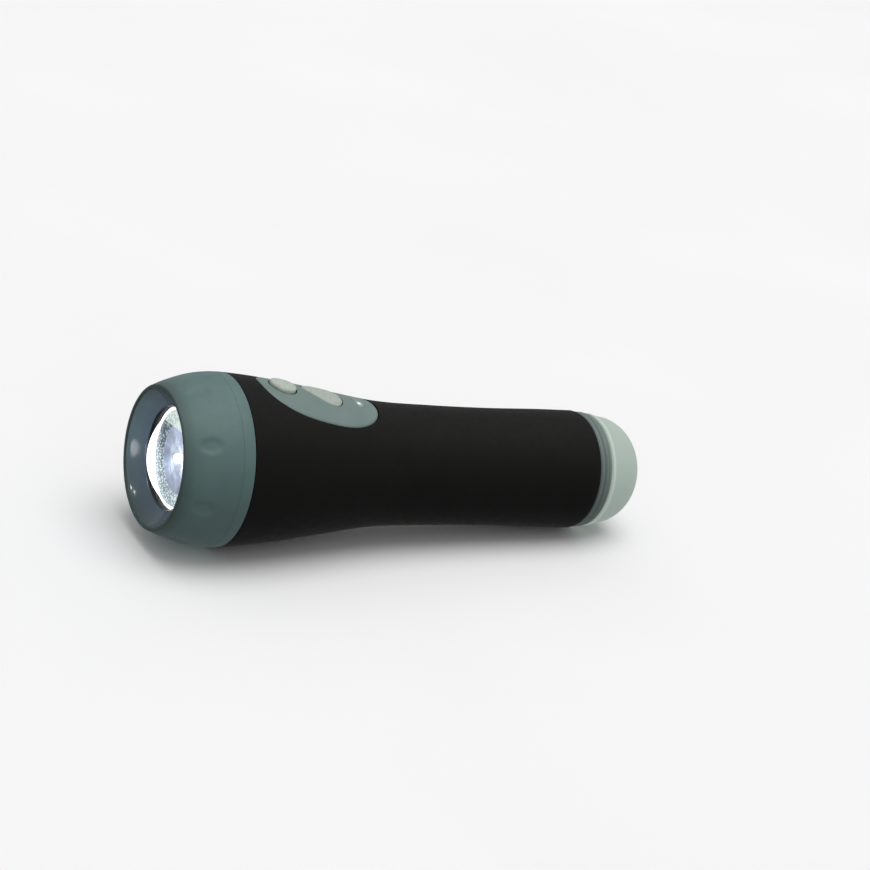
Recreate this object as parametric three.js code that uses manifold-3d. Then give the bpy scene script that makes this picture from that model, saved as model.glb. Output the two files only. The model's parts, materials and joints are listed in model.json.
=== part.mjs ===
// A hand crank flashlight, in millimetres, lying on its side with its control panel up.
// Inside the torch group, X runs from the front rim to the tail dome and Z points to the control panel.
import * as THREE from "three";
import { mergeVertices } from "three/addons/utils/BufferGeometryUtils.js";
import Module from "manifold-3d";

const wasm = await Module();
wasm.setup();

// General
const FIT = 0.3;
const OVERRUN = 3;
const SIDES = 32;
const MEDIUM_SIDES = 20;
const CELL_SIDES = 16;
const SMALL_SIDES = 8;

// Head
const HEAD_RADIUS = 29;
const HEAD_LENGTH = 23.1;
const HEAD_PEAK_SHARE = 0.8658;
const HEAD_CURVE_POWER = 1.9;
const RIM_RADIUS_SHARE = 0.8034;
const HEAD_STEPS = 5;
const UNDER_STEPS = 3;
const RIM_FLAT = 0.6;
const RIM_ROUND = 0.5;
const BOOT_LENGTH_SHARE = 0.814;
const BOOT_WALL = 2.2;
const LIP_THICKNESS = 1.8;
const DIMPLE_COUNT = 8;
const DIMPLE_PLACE_SHARE = 0.3593;
const DIMPLE_LENGTH = 7.2;
const DIMPLE_WIDTH = 5.4;
const DIMPLE_DEPTH = 1;
const DIMPLE_TURN = 10.6;

// Optics
const LENS_PLACE_SHARE = 0.2381;
const LENS_RADIUS_SHARE = 0.5759;
const LENS_THICKNESS = 2.4;
const FLANGE_THICKNESS = 1.2;
const FUNNEL_EDGE = 1;
const OPTIC_BORE_SHARE = 0.7;
const SEAL_SECTION = 1.4;
const HOLDER_WALL = 1.4;
const CUP_RADIUS_SHARE = 0.3931;
const CUP_FACE_SHARE = 0.5103;
const CUP_BACK_SHARE = 0.138;
const CUP_DEPTH_SHARE = 0.4329;
const LED_RADIUS = 2.6;
const LED_DOME_SHARES = [0.33, 0.8];
const LED_HEIGHT = 1.9;
const BOARD_THICKNESS = 1.4;
const HEAT_SINK_DEPTH = 6.4;
const HEAT_SINK_PLATE = 2.2;
const HEAT_SINK_BORE = 3.9;
const SCREW_RADIUS = 0.9;
const SCREW_HEAD_RADIUS = 1.6;
const SCREW_HEAD_HEIGHT = 0.9;
const LED_SCREW_SHARE = 0.2328;
const LED_SCREW_DEPTH = 1.6;

// Grip
const GRIP_LENGTH = 139.5;
const WAIST_RADIUS = 20.65;
const TAIL_RADIUS = 21.05;
const SLEEVE_WALL = 1.6;
const SHELL_WALL = 1.8;
const NECK_LENGTH_SHARE = 0.4545;
const NECK_RADIUS_SHARE = 0.8;
const SHELL_REAR_SETBACK = 4.6;

// Control panel: setbacks are distances behind the head's rear edge.
const PANEL_SETBACK = 31.25;
const PANEL_LENGTH = 44.3;
const PANEL_WIDTH = 28.4;
const PANEL_POWER = 2.5;
const BUTTON_TRAVEL = 0.9;
const POWER_SETBACK = 17.5;
const POWER_LENGTH = 9.2;
const POWER_WIDTH = 9.4;
const POWER_RISE = 1.5;
const MODE_SETBACK = 32.7;
const MODE_LENGTH = 15;
const MODE_WIDTH = 13.2;
const MODE_RISE = 0.6;
const BUTTON_FLANGE = 0.7;
const BUTTON_SPARE = 0.1;
const STEM_RADIUS = 1.8;
const STEM_REACH = 0.4;
const INDICATOR_SETBACK = 46.9;
const INDICATOR_LENGTH = 4;
const INDICATOR_WIDTH = 8;
const INDICATOR_RISE = 0.2;
const INDICATOR_LED_HEIGHT = 1.6;
const PIPE_RADIUS = 1.3;

// Frame and boards
const FRAME_DISC = 2;
const FRAME_BORE = 9.3;
const DECK_THICKNESS = 1.4;
const DECK_HEIGHT = 12.6;
const DECK_WIDTH = 15;
const SWITCH_SIZE = 6;
const PLUNGER_RADIUS = 1.6;
const PLUNGER_HEIGHT = 0.8;
const WIRE_RADIUS = 0.6;
const WIRE_SPREAD = 6;
const WIRE_STEPS = 4;
const WIRE_END_SHARE = 0.125;
const MAIN_BOARD_WIDTH = 21;
const MAIN_BOARD_HEIGHT = 8.7;
const COMPONENT_SHARES = { driver_chip: 0.33, inductor: 0.54, capacitor: 0.75 };
const CHIP_SIZE = 7;
const CHIP_HEIGHT = 1.4;
const CAPACITOR_RADIUS = 2.2;
const CAPACITOR_HEIGHT = 3.6;
const INDUCTOR_RADIUS = 3;
const INDUCTOR_HEIGHT = 3;

// Battery
const CELL_RADIUS = 5.25;
const CELL_LENGTH = 44.3;
const CELL_TIP = 1;
const CELL_TIP_RADIUS = 1.9;
const CELL_DROP = 4.5;
const HOLDER_TUBE_WALL = 1;
const HOLDER_FLANGE = 1.6;
const CONTACT_THICKNESS = 0.6;

// Generator and gears
const PLATE_THICKNESS = 2;
const STATOR_LENGTH = 10;
const STATOR_BORE = 10.6;
const STATOR_WALL = 1.2;
const MAGNET_RADIUS = 10;
const ROTOR_SHAFT_RADIUS = 1.2;
const BEARING_RADIUS = 3;
const GEAR_MODULE = 0.7;
const RING_TEETH = 36;
const IDLER_PINION_TEETH = 11;
const IDLER_WHEEL_TEETH = 18;
const ROTOR_PINION_TEETH = 7;
const RING_WALL = 2;
const RING_FACE = 4.6;
const RING_WEB = 2;
const WHEEL_FACE = 4;
const IDLER_PIN_RADIUS = 1;
const RING_END_PLAY = 1.2;
const TOOTH_TOP_SHARE = 0.75;
const TOOTH_ROOT_SHARE = 1.05;
const TOOTH_BASE_SHARE = 0.31;
const TOOTH_TIP_SHARE = 0.11;

// Tail and crank
const COLLAR_LENGTH = 5.3;
const COLLAR_RADIUS = 20.5;
const COLLAR_RIDGE = 0.45;
const COLLAR_RIDGE_SPACING = 1.9;
const COLLAR_WEB = 2.6;
const DOME_RADIUS = 19.9;
const DOME_HEIGHT = 19.1;
const DOME_POWER = 2.43;
const DOME_STEPS = 8;
const DOME_WALL = 2.4;
const HUB_RADIUS = 17.4;
const HUB_DEPTH = 4.4;
const SHAFT_RADIUS = 2.5;
const BUSH_WALL = 1.6;
const WASHER_RADIUS = 8;
const WASHER_THICKNESS = 1;
const CLIP_THICKNESS = 0.8;
const CRANK_REST_TURN = 26;
const ARM_WIDTH = 10;
const ARM_WALL = 4;
const HINGE_HEIGHT = 11.3;
const HINGE_OFFSET = 11.7;
const KNUCKLE_RADIUS = 3.2;
const PIN_RADIUS = 1.2;
const CHEEK_WALL = 2.3;
const SLOT_FLOOR = 3.2;
const KNOB_OFFSET = 11.5;
const KNOB_RADIUS = 4.8;
const KNOB_LENGTH = 12;
const KNOB_ROUND = 0.8;
const KNOB_RECESS = 1.5;
const POCKET_ROOM = 1.5;
const AXLE_RADIUS = 1.5;
const AXLE_HEAD_RADIUS = 2.5;
const DOME_SCREW_OFFSET = 8;
const DOME_SCREW_SPREAD = 8;
const DOME_SCREW_REACH = 2.1;

// Head and optics follow the head's radius and length.
const RIM_RADIUS = HEAD_RADIUS * RIM_RADIUS_SHARE;
const NECK_RADIUS = HEAD_RADIUS * NECK_RADIUS_SHARE;
const OPTIC_BORE = HEAD_RADIUS * OPTIC_BORE_SHARE;
const LENS_RADIUS = HEAD_RADIUS * LENS_RADIUS_SHARE;
const CUP_RADIUS = HEAD_RADIUS * CUP_RADIUS_SHARE;
const CUP_FACE_RADIUS = HEAD_RADIUS * CUP_FACE_SHARE;
const CUP_BACK_RADIUS = HEAD_RADIUS * CUP_BACK_SHARE;
const LED_SCREW_OFFSET = HEAD_RADIUS * LED_SCREW_SHARE;
const HEAD_PEAK = HEAD_LENGTH * HEAD_PEAK_SHARE;
const BOOT_LENGTH = HEAD_LENGTH * BOOT_LENGTH_SHARE;
const NECK_LENGTH = HEAD_LENGTH * NECK_LENGTH_SHARE;
const DIMPLE_PLACE = HEAD_LENGTH * DIMPLE_PLACE_SHARE;
const LENS_PLACE = HEAD_LENGTH * LENS_PLACE_SHARE;
const CUP_DEPTH = HEAD_LENGTH * CUP_DEPTH_SHARE;

// Stations along the torch
const PANEL_PLACE = HEAD_LENGTH + PANEL_SETBACK;
const POWER_PLACE = HEAD_LENGTH + POWER_SETBACK;
const MODE_PLACE = HEAD_LENGTH + MODE_SETBACK;
const INDICATOR_PLACE = HEAD_LENGTH + INDICATOR_SETBACK;
const REAR_EDGE = HEAD_LENGTH + GRIP_LENGTH;
const DOME_BASE = REAR_EDGE + COLLAR_LENGTH;
const SHELL_END = REAR_EDGE - SHELL_REAR_SETBACK;
const SEAT_OFFSET = SLEEVE_WALL + FIT;
const INNER_OFFSET = SEAT_OFFSET + SHELL_WALL;

// The grip narrows from the head to the waist and widens a little towards the tail.
const GRIP_STATION_SHARES = [0, 0.072, 0.166, 0.27, 0.416, 0.582, 0.748, 0.894, 1];
const GRIP_HEAD_SHARES = [1, 0.905, 0.716, 0.454, 0.111, 0.017, 0, 0, 0];
const GRIP_TAIL_SHARES = [0, 0, 0, 0, 0, 0, 0, 0.9, 1];

// Places where the grip's layers bend; they bend together, so the gaps between them stay even.
const GRIP_BEND_SHARES = [0.07, 0.15, 0.24, 0.33, 0.42, 0.55, 0.78];

// The egg outline of the second button, from its pointed front end (0) to its rear end (1).
const EGG_STATION_SHARES = [0, 0.06, 0.2, 0.4, 0.6, 0.78, 0.92, 0.985, 1];
const EGG_WIDTH_SHARES = [0, 0.28, 0.6, 0.9, 1, 0.93, 0.64, 0.28, 0];

// Reads a smooth curve through a table of shares.
function shareAt(stations, shares, place) {
  const last = stations.length - 1;
  const clamped = THREE.MathUtils.clamp(place, stations[0], stations[last]);
  let i = 0;
  while (i < last - 1 && clamped > stations[i + 1]) i += 1;
  const slope = (k) => {
    const before = Math.max(k - 1, 0);
    const after = Math.min(k + 1, last);
    return (shares[after] - shares[before]) / (stations[after] - stations[before]);
  };
  const width = stations[i + 1] - stations[i];
  const u = (clamped - stations[i]) / width;
  const start = shares[i] * (1 + 2 * u) * (1 - u) ** 2 + slope(i) * width * u * (1 - u) ** 2;
  const end = shares[i + 1] * u * u * (3 - 2 * u) + slope(i + 1) * width * u * u * (u - 1);
  return start + end;
}

// Radius of the head's outside at a distance from the front rim.
const RIM_OUTER_RADIUS = RIM_RADIUS + RIM_FLAT / 2 + RIM_ROUND;
function headRadius(x) {
  const before = Math.max(HEAD_PEAK - x, 0) / (HEAD_PEAK - RIM_ROUND);
  return HEAD_RADIUS - (HEAD_RADIUS - RIM_OUTER_RADIUS) * before ** HEAD_CURVE_POWER;
}

// Radius of the grip's outside.
function gripRadius(x) {
  const place = (x - HEAD_LENGTH) / GRIP_LENGTH;
  const head = shareAt(GRIP_STATION_SHARES, GRIP_HEAD_SHARES, place);
  const tail = shareAt(GRIP_STATION_SHARES, GRIP_TAIL_SHARES, place);
  return WAIST_RADIUS + head * (HEAD_RADIUS - WAIST_RADIUS) + tail * (TAIL_RADIUS - WAIST_RADIUS);
}

// Distance of the dome's outside from its base plane, at a radius; the inset moves it inwards.
function domeOutline(inset = 0) {
  const points = [];
  for (let k = 0; k <= DOME_STEPS; k += 1) {
    const angle = ((k / DOME_STEPS) * Math.PI) / 2;
    const along = (DOME_HEIGHT - inset) * Math.sin(angle) ** (2 / DOME_POWER);
    const out = k === DOME_STEPS ? 0 : (DOME_RADIUS - inset) * Math.cos(angle) ** (2 / DOME_POWER);
    points.push([DOME_BASE + along, out]);
  }
  return points;
}

// Makes a solid of a closed mesh, for joins and cuts.
function solidOf(geometry) {
  const bare = new THREE.BufferGeometry();
  bare.setAttribute("position", geometry.getAttribute("position"));
  if (geometry.index) bare.setIndex(geometry.index);
  const merged = mergeVertices(bare);
  const corners = merged.index.array;
  const kept = [];
  for (let i = 0; i < corners.length; i += 3) {
    const [a, b, c] = [corners[i], corners[i + 1], corners[i + 2]];
    if (a !== b && b !== c && c !== a) kept.push(a, b, c);
  }
  const vertProperties = merged.getAttribute("position").array;
  return new wasm.Manifold(new wasm.Mesh({ numProp: 3, vertProperties, triVerts: new Uint32Array(kept) }));
}

function geometryOf(solid) {
  const mesh = solid.getMesh();
  const geometry = new THREE.BufferGeometry();
  geometry.setAttribute("position", new THREE.BufferAttribute(new Float32Array(mesh.vertProperties), 3));
  geometry.setIndex(new THREE.BufferAttribute(new Uint32Array(mesh.triVerts), 1));
  return geometry;
}

function join(first, ...others) {
  let solid = solidOf(first);
  for (const other of others) solid = solid.add(solidOf(other));
  return geometryOf(solid);
}

function cut(base, ...tools) {
  let solid = solidOf(base);
  for (const tool of tools) solid = solid.subtract(solidOf(tool));
  return geometryOf(solid);
}

function common(first, ...others) {
  let solid = solidOf(first);
  for (const other of others) solid = solid.intersect(solidOf(other));
  return geometryOf(solid);
}

// Turns an outline of [distance along X, radius] points about the X axis.
function turned(outline, sides = SIDES) {
  const points = outline.map(([along, radius]) => new THREE.Vector2(radius, along));
  if (THREE.ShapeUtils.area(points) < 0) points.reverse();
  const open = points[0].x === 0 && points[points.length - 1].x === 0;
  if (!open) points.push(points[0].clone());
  return new THREE.LatheGeometry(points, sides, Math.PI / sides).rotateZ(-Math.PI / 2);
}

// A solid rod or a tube along X.
function rod(start, end, radius, sides = MEDIUM_SIDES) {
  return turned([[start, 0], [start, radius], [end, radius], [end, 0]], sides);
}

function tube(start, end, outer, inner, sides = MEDIUM_SIDES) {
  return turned([[start, inner], [start, outer], [end, outer], [end, inner]], sides);
}

function block(x0, x1, y0, y1, z0, z1) {
  const box = new THREE.BoxGeometry(x1 - x0, y1 - y0, z1 - z0);
  return box.translate((x0 + x1) / 2, (y0 + y1) / 2, (z0 + z1) / 2);
}

// Extrudes an outline seen from above, between two heights.
function prism(points, z0, z1) {
  const shape = new THREE.Shape(points);
  const geometry = new THREE.ExtrudeGeometry(shape, { depth: z1 - z0, bevelEnabled: false });
  return geometry.translate(0, 0, z0);
}

// Extrudes an outline in the Y and Z plane along X, with an optional hole.
const ALONG_X = new THREE.Matrix4().makeBasis(
  new THREE.Vector3(0, 1, 0),
  new THREE.Vector3(0, 0, 1),
  new THREE.Vector3(1, 0, 0),
);
function plate(points, x0, x1, hole) {
  const shape = new THREE.Shape(points);
  if (hole) shape.holes.push(new THREE.Path(hole));
  const geometry = new THREE.ExtrudeGeometry(shape, { depth: x1 - x0, bevelEnabled: false });
  return geometry.applyMatrix4(ALONG_X).translate(x0, 0, 0);
}

function upright(radius, z0, z1, x, y = 0, sides = MEDIUM_SIDES) {
  const pin = new THREE.CylinderGeometry(radius, radius, z1 - z0, sides).rotateX(Math.PI / 2);
  return pin.translate(x, y, (z0 + z1) / 2);
}

// An oval seen from above, as a superellipse, with an allowance around it.
function oval(place, length, width, power, allowance = 0, count = MEDIUM_SIDES * 2) {
  const points = [];
  for (let k = 0; k < count; k += 1) {
    const angle = (k / count) * Math.PI * 2;
    const across = Math.cos(angle);
    const side = Math.sin(angle);
    const x = Math.sign(across) * Math.abs(across) ** (2 / power) * (length / 2 + allowance);
    const y = Math.sign(side) * Math.abs(side) ** (2 / power) * (width / 2 + allowance);
    points.push(new THREE.Vector2(place + x, y));
  }
  return points;
}

function egg(place, length, width, allowance = 0) {
  const reach = length / 2 + allowance;
  const half = EGG_STATION_SHARES.map((station, k) => [
    place - reach + 2 * reach * station,
    EGG_WIDTH_SHARES[k] * (width / 2 + allowance),
  ]);
  const near = half.map(([x, y]) => new THREE.Vector2(x, -y));
  const far = half.slice(1, -1).map(([x, y]) => new THREE.Vector2(x, y));
  return [...near, ...far.reverse()];
}

function gripSteps(start, end, depth) {
  const bends = GRIP_BEND_SHARES.map((share) => HEAD_LENGTH + share * GRIP_LENGTH);
  const stations = [start, ...bends.filter((x) => x > start && x < end), end];
  return stations.map((x) => [x, gripRadius(x) - depth]);
}

// A layer of the grip between two depths under its surface; a negative depth stands proud of it.
function gripLayer(outerDepth, innerDepth, start = HEAD_LENGTH, end = REAR_EDGE) {
  return turned([...gripSteps(start, end, outerDepth), ...gripSteps(start, end, innerDepth).reverse()]);
}

// Radius that fits inside the shells between two stations.
function innerRadius(start, end) {
  const radii = gripSteps(start, end, INNER_OFFSET).map(([, radius]) => radius);
  return Math.min(...radii) - FIT;
}

function outlineSteps(start, end, steps, radiusAt) {
  const points = [];
  for (let k = 0; k <= steps; k += 1) {
    const x = start + (k / steps) * (end - start);
    points.push([x, radiusAt(x)]);
  }
  return points;
}

function paint(color, roughness, metalness = 0, opacity = 1) {
  const transparent = opacity < 1;
  return new THREE.MeshStandardMaterial({ color, roughness, metalness, opacity, transparent });
}

const COLORS = {
  boot: paint(0x5c6f6e, 0.75),
  ring: paint(0x4d5b64, 0.3),
  clear: paint(0xe8f0f4, 0.05, 0, 0.35),
  silver: paint(0xc4ccd0, 0.3, 0.9),
  sleeve: paint(0x1c1c1a, 0.7),
  shell: paint(0x2c2c2e, 0.55),
  panel: paint(0x77857f, 0.6),
  button: paint(0xb1bbb2, 0.55),
  band: paint(0x7d8985, 0.4),
  dome: paint(0xa9b8ae, 0.35),
  rubber: paint(0x151515, 0.85),
  steel: paint(0x9a9da0, 0.35, 1),
  brass: paint(0xb59a55, 0.35, 1),
  copper: paint(0xb06a3c, 0.4, 1),
  aluminium: paint(0xb4b8bb, 0.4, 1),
  board: paint(0x1d5b3a, 0.5),
  chip: paint(0x202020, 0.5),
  cell: paint(0x4a7a52, 0.4),
  nylon: paint(0xe6e2d6, 0.5),
  redWire: paint(0xa82a22, 0.5),
  blackWire: paint(0x1a1a1a, 0.5),
  magnet: paint(0x4a4a4e, 0.5, 0.3),
  led: paint(0xf4f1c8, 0.2),
};

const torch = new THREE.Group();
const crank = new THREE.Group();
crank.rotation.x = THREE.MathUtils.degToRad(-CRANK_REST_TURN);
torch.add(crank);

function add(name, geometry, material, group = torch) {
  const mesh = new THREE.Mesh(geometry, material);
  mesh.name = name;
  group.add(mesh);
}

// Head: a rubber boot with soft dimples over a hard ring that holds the funnel.
function rimArc() {
  const points = [];
  for (let k = 0; k <= 2; k += 1) {
    const angle = ((k / 2) * Math.PI) / 2;
    const inward = RIM_RADIUS - RIM_FLAT / 2 - RIM_ROUND * Math.cos(angle);
    points.push([RIM_ROUND * (1 - Math.sin(angle)), inward]);
  }
  for (let k = 0; k < 2; k += 1) {
    const angle = ((k / 2) * Math.PI) / 2;
    const outward = RIM_RADIUS + RIM_FLAT / 2 + RIM_ROUND * Math.sin(angle);
    points.push([RIM_ROUND * (1 - Math.cos(angle)), outward]);
  }
  return points;
}

const RIM_INNER_RADIUS = RIM_RADIUS - RIM_FLAT / 2 - RIM_ROUND;
function bezelBoot() {
  const outer = outlineSteps(RIM_ROUND, BOOT_LENGTH, HEAD_STEPS, headRadius);
  const underRadius = (x) => Math.max(headRadius(x) - BOOT_WALL, RIM_INNER_RADIUS);
  const inner = outlineSteps(LIP_THICKNESS, BOOT_LENGTH, UNDER_STEPS, underRadius).reverse();
  const boot = turned([...rimArc(), ...outer, ...inner]);
  const dimples = [];
  const half = DIMPLE_LENGTH / 2;
  const rise = headRadius(DIMPLE_PLACE + half) - headRadius(DIMPLE_PLACE - half);
  const slope = Math.atan2(rise, DIMPLE_LENGTH);
  for (let k = 0; k < DIMPLE_COUNT; k += 1) {
    const dimple = new THREE.SphereGeometry(1, SMALL_SIDES, SMALL_SIDES / 2 + 1);
    dimple.scale(half, DIMPLE_WIDTH / 2, DIMPLE_DEPTH);
    dimple.rotateY(-slope).translate(DIMPLE_PLACE, 0, headRadius(DIMPLE_PLACE));
    const turn = THREE.MathUtils.degToRad(DIMPLE_TURN) + (k / DIMPLE_COUNT) * Math.PI * 2;
    dimples.push(dimple.rotateX(turn));
  }
  return cut(boot, ...dimples);
}

// The ring's bore narrows to hold the optics, and takes the shells' neck behind them.
const FUNNEL_BACK = LENS_PLACE + FUNNEL_EDGE;
const NECK_FRONT = HEAD_LENGTH - NECK_LENGTH;
const NECK_STEP = NECK_FRONT - FIT - SEAL_SECTION - FIT;
const LENS_BACK = LENS_PLACE + LENS_THICKNESS;
const SEAM_GAP = FIT / 2;
function bezelRing() {
  const under = (x) => headRadius(x) - BOOT_WALL - FIT;
  const front = LIP_THICKNESS + FIT;
  const lipStart = BOOT_LENGTH + FIT;
  const lipEnd = HEAD_LENGTH - SEAM_GAP;
  return turned([
    [LENS_PLACE, LENS_RADIUS + FIT],
    [front, under(front) - FIT],
    ...outlineSteps(front, lipStart, UNDER_STEPS, under),
    [lipStart, headRadius(lipStart)],
    [lipEnd, headRadius(lipEnd)],
    [lipEnd, NECK_RADIUS + FIT],
    [NECK_STEP, NECK_RADIUS + FIT],
    [NECK_STEP, OPTIC_BORE],
    [FUNNEL_BACK, OPTIC_BORE],
    [FUNNEL_BACK, LENS_RADIUS + FIT],
  ]);
}

// Optics: a stepped window, its seal, a cup and a light cone in front of the emitter.
const HOLDER_RADIUS = OPTIC_BORE - FIT;
const SEAL_FRONT = LENS_BACK + FIT;
const HOLDER_SHOULDER = SEAL_FRONT + SEAL_SECTION + FIT;
const CUP_FACE = LENS_BACK + FIT;
const CUP_FRONT = CUP_FACE + FIT * 2;
const CUP_BACK = CUP_FRONT + CUP_DEPTH;
const HOLDER_END = CUP_BACK + HOLDER_WALL;
function lens() {
  const flange = LENS_BACK - FLANGE_THICKNESS;
  return turned([
    [LENS_PLACE, 0],
    [LENS_PLACE, LENS_RADIUS - FIT],
    [LENS_PLACE + FIT, LENS_RADIUS],
    [flange, LENS_RADIUS],
    [flange, HOLDER_RADIUS],
    [LENS_BACK, HOLDER_RADIUS],
    [LENS_BACK, 0],
  ], MEDIUM_SIDES);
}

const HOLDER_NOSE_RADIUS = HOLDER_RADIUS - SEAL_SECTION - 2 * FIT;
function opticHolder() {
  const innerRadiusHere = HOLDER_RADIUS - HOLDER_WALL;
  const ledge = HOLDER_SHOULDER + HOLDER_WALL;
  return turned([
    [CUP_FRONT, CUP_RADIUS],
    [CUP_FACE, CUP_FACE_RADIUS],
    [CUP_FACE, HOLDER_NOSE_RADIUS],
    [HOLDER_SHOULDER, HOLDER_NOSE_RADIUS],
    [HOLDER_SHOULDER, HOLDER_RADIUS],
    [HOLDER_END, HOLDER_RADIUS],
    [HOLDER_END, innerRadiusHere],
    [ledge, innerRadiusHere],
    [ledge, CUP_RADIUS + HOLDER_WALL],
    [CUP_BACK, CUP_BACK_RADIUS + HOLDER_WALL],
    [CUP_BACK, CUP_BACK_RADIUS],
  ], MEDIUM_SIDES);
}

const CONE_BACK = CUP_BACK - LED_HEIGHT / 2;
function collimator() {
  const slope = (CUP_RADIUS - CUP_BACK_RADIUS) / CUP_DEPTH;
  const clearance = FIT * Math.hypot(1, slope);
  const radiusAt = (x) => CUP_RADIUS - slope * (x - CUP_FRONT) - clearance;
  return turned([
    [CUP_FRONT + FIT * 2, 0],
    [CUP_FRONT + FIT, radiusAt(CUP_FRONT + FIT)],
    [CONE_BACK - FIT, radiusAt(CONE_BACK - FIT)],
    [CONE_BACK - FIT, 0],
  ], MEDIUM_SIDES);
}

const LED_BOARD_FRONT = HOLDER_END + FIT;
const HEAT_SINK_FRONT = LED_BOARD_FRONT + BOARD_THICKNESS + FIT;
function ledEmitter() {
  const base = LED_BOARD_FRONT - FIT;
  const top = CONE_BACK;
  return turned([
    [top, 0],
    [top, LED_RADIUS * LED_DOME_SHARES[0]],
    [top + LED_HEIGHT / 2, LED_RADIUS * LED_DOME_SHARES[1]],
    [top + LED_HEIGHT / 2, LED_RADIUS],
    [base, LED_RADIUS],
    [base, 0],
  ], MEDIUM_SIDES);
}

function screwHoles(radius, start, end) {
  return [-1, 1].map((side) => rod(start, end, radius, SMALL_SIDES).translate(0, side * LED_SCREW_OFFSET, 0));
}

function ledBoard() {
  const back = LED_BOARD_FRONT + BOARD_THICKNESS;
  const board = rod(LED_BOARD_FRONT, back, HOLDER_RADIUS);
  return cut(board, ...screwHoles(SCREW_RADIUS + FIT, LED_BOARD_FRONT - OVERRUN, back + OVERRUN));
}

const HEAT_SINK_END = HEAT_SINK_FRONT + HEAT_SINK_DEPTH;
function heatSink() {
  const plateBack = HEAT_SINK_FRONT + HEAT_SINK_PLATE;
  const rimInner = HOLDER_RADIUS - HEAT_SINK_PLATE;
  const body = turned([
    [HEAT_SINK_FRONT, HEAT_SINK_BORE],
    [HEAT_SINK_FRONT, HOLDER_RADIUS],
    [HEAT_SINK_END, HOLDER_RADIUS],
    [HEAT_SINK_END, rimInner],
    [plateBack, rimInner],
    [plateBack, HEAT_SINK_BORE],
  ], MEDIUM_SIDES);
  const holeEnd = HEAT_SINK_FRONT + LED_SCREW_DEPTH + FIT;
  return cut(body, ...screwHoles(SCREW_RADIUS + FIT, HEAT_SINK_FRONT - OVERRUN, holeEnd));
}

function ledScrew(side) {
  const head = LED_BOARD_FRONT - FIT;
  const screw = turned([
    [head - SCREW_HEAD_HEIGHT, 0],
    [head - SCREW_HEAD_HEIGHT, SCREW_HEAD_RADIUS],
    [head, SCREW_HEAD_RADIUS],
    [head, SCREW_RADIUS],
    [HEAT_SINK_FRONT + LED_SCREW_DEPTH, SCREW_RADIUS],
    [HEAT_SINK_FRONT + LED_SCREW_DEPTH, 0],
  ], SMALL_SIDES);
  return screw.translate(0, side * LED_SCREW_OFFSET, 0);
}

// Grip: a soft sleeve over two half shells whose neck enters the bezel ring.
const PANEL_TOP = HEAD_RADIUS + OVERRUN;
function panelPrism(allowance) {
  return prism(oval(PANEL_PLACE, PANEL_LENGTH, PANEL_WIDTH, PANEL_POWER, allowance), 0, PANEL_TOP);
}

function gripSleeve() {
  const sleeve = gripLayer(0, SLEEVE_WALL, HEAD_LENGTH + SEAM_GAP, REAR_EDGE);
  return cut(sleeve, panelPrism(FIT));
}

// Outlines of the buttons and the indicator, each with an allowance.
const powerOutline = (allowance) => oval(POWER_PLACE, POWER_LENGTH, POWER_WIDTH, 2, allowance, MEDIUM_SIDES);
const modeOutline = (allowance) => egg(MODE_PLACE, MODE_LENGTH, MODE_WIDTH, allowance);
const indicatorOutline = (allowance) =>
  oval(INDICATOR_PLACE, INDICATOR_LENGTH, INDICATOR_WIDTH, 2, allowance, MEDIUM_SIDES);

function shellBlank() {
  const front = HEAD_LENGTH + SEAM_GAP;
  const step = front + SHELL_WALL;
  return turned([
    [NECK_FRONT, OPTIC_BORE],
    [NECK_FRONT, NECK_RADIUS],
    [front, NECK_RADIUS],
    ...gripSteps(front, SHELL_END, SEAT_OFFSET),
    ...gripSteps(step, SHELL_END, INNER_OFFSET).reverse(),
    [step, OPTIC_BORE],
  ]);
}

function shellHalf(side) {
  const reach = HEAD_RADIUS + OVERRUN;
  const half = side > 0 ? [FIT / 2, reach] : [-reach, -FIT / 2];
  return common(shellBlank(), block(0, REAR_EDGE, -reach, reach, ...half));
}

function shellUpper() {
  const wide = BUTTON_FLANGE + 2 * FIT;
  return cut(
    shellHalf(1),
    prism(powerOutline(wide), 0, PANEL_TOP),
    prism(modeOutline(wide), 0, PANEL_TOP),
    prism(indicatorOutline(FIT), 0, PANEL_TOP),
  );
}

function controlPanel() {
  const skin = common(gripLayer(0, SLEEVE_WALL, HEAD_LENGTH + SEAM_GAP, REAR_EDGE), panelPrism(0));
  return cut(
    skin,
    prism(powerOutline(FIT), 0, PANEL_TOP),
    prism(modeOutline(FIT), 0, PANEL_TOP),
    prism(indicatorOutline(FIT), 0, PANEL_TOP),
  );
}

// Buttons: a cap that follows the grip's curve, a flange that keeps it in, and a stem over its switch.
const DECK_TOP = DECK_HEIGHT + DECK_THICKNESS;
const SWITCH_BOARD_BASE = DECK_TOP + FIT;
const SWITCH_BOARD_TOP = SWITCH_BOARD_BASE + BOARD_THICKNESS;
const SWITCH_BASE = SWITCH_BOARD_TOP + FIT;
const FLANGE_DEPTH = SEAT_OFFSET + BUTTON_FLANGE;
const STEM_BASE = gripRadius(MODE_PLACE) - FLANGE_DEPTH - STEM_REACH;
const PLUNGER_TOP = STEM_BASE - BUTTON_TRAVEL - BUTTON_SPARE;
const SWITCH_TOP = PLUNGER_TOP - PLUNGER_HEIGHT;
function button(outline, place, rise) {
  const cap = common(gripLayer(-rise, FLANGE_DEPTH), prism(outline(0), 0, PANEL_TOP));
  const flange = common(gripLayer(SEAT_OFFSET, FLANGE_DEPTH), prism(outline(BUTTON_FLANGE), 0, PANEL_TOP));
  const stem = upright(STEM_RADIUS, STEM_BASE, gripRadius(place) - SEAT_OFFSET, place);
  return join(cap, flange, stem);
}

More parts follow.
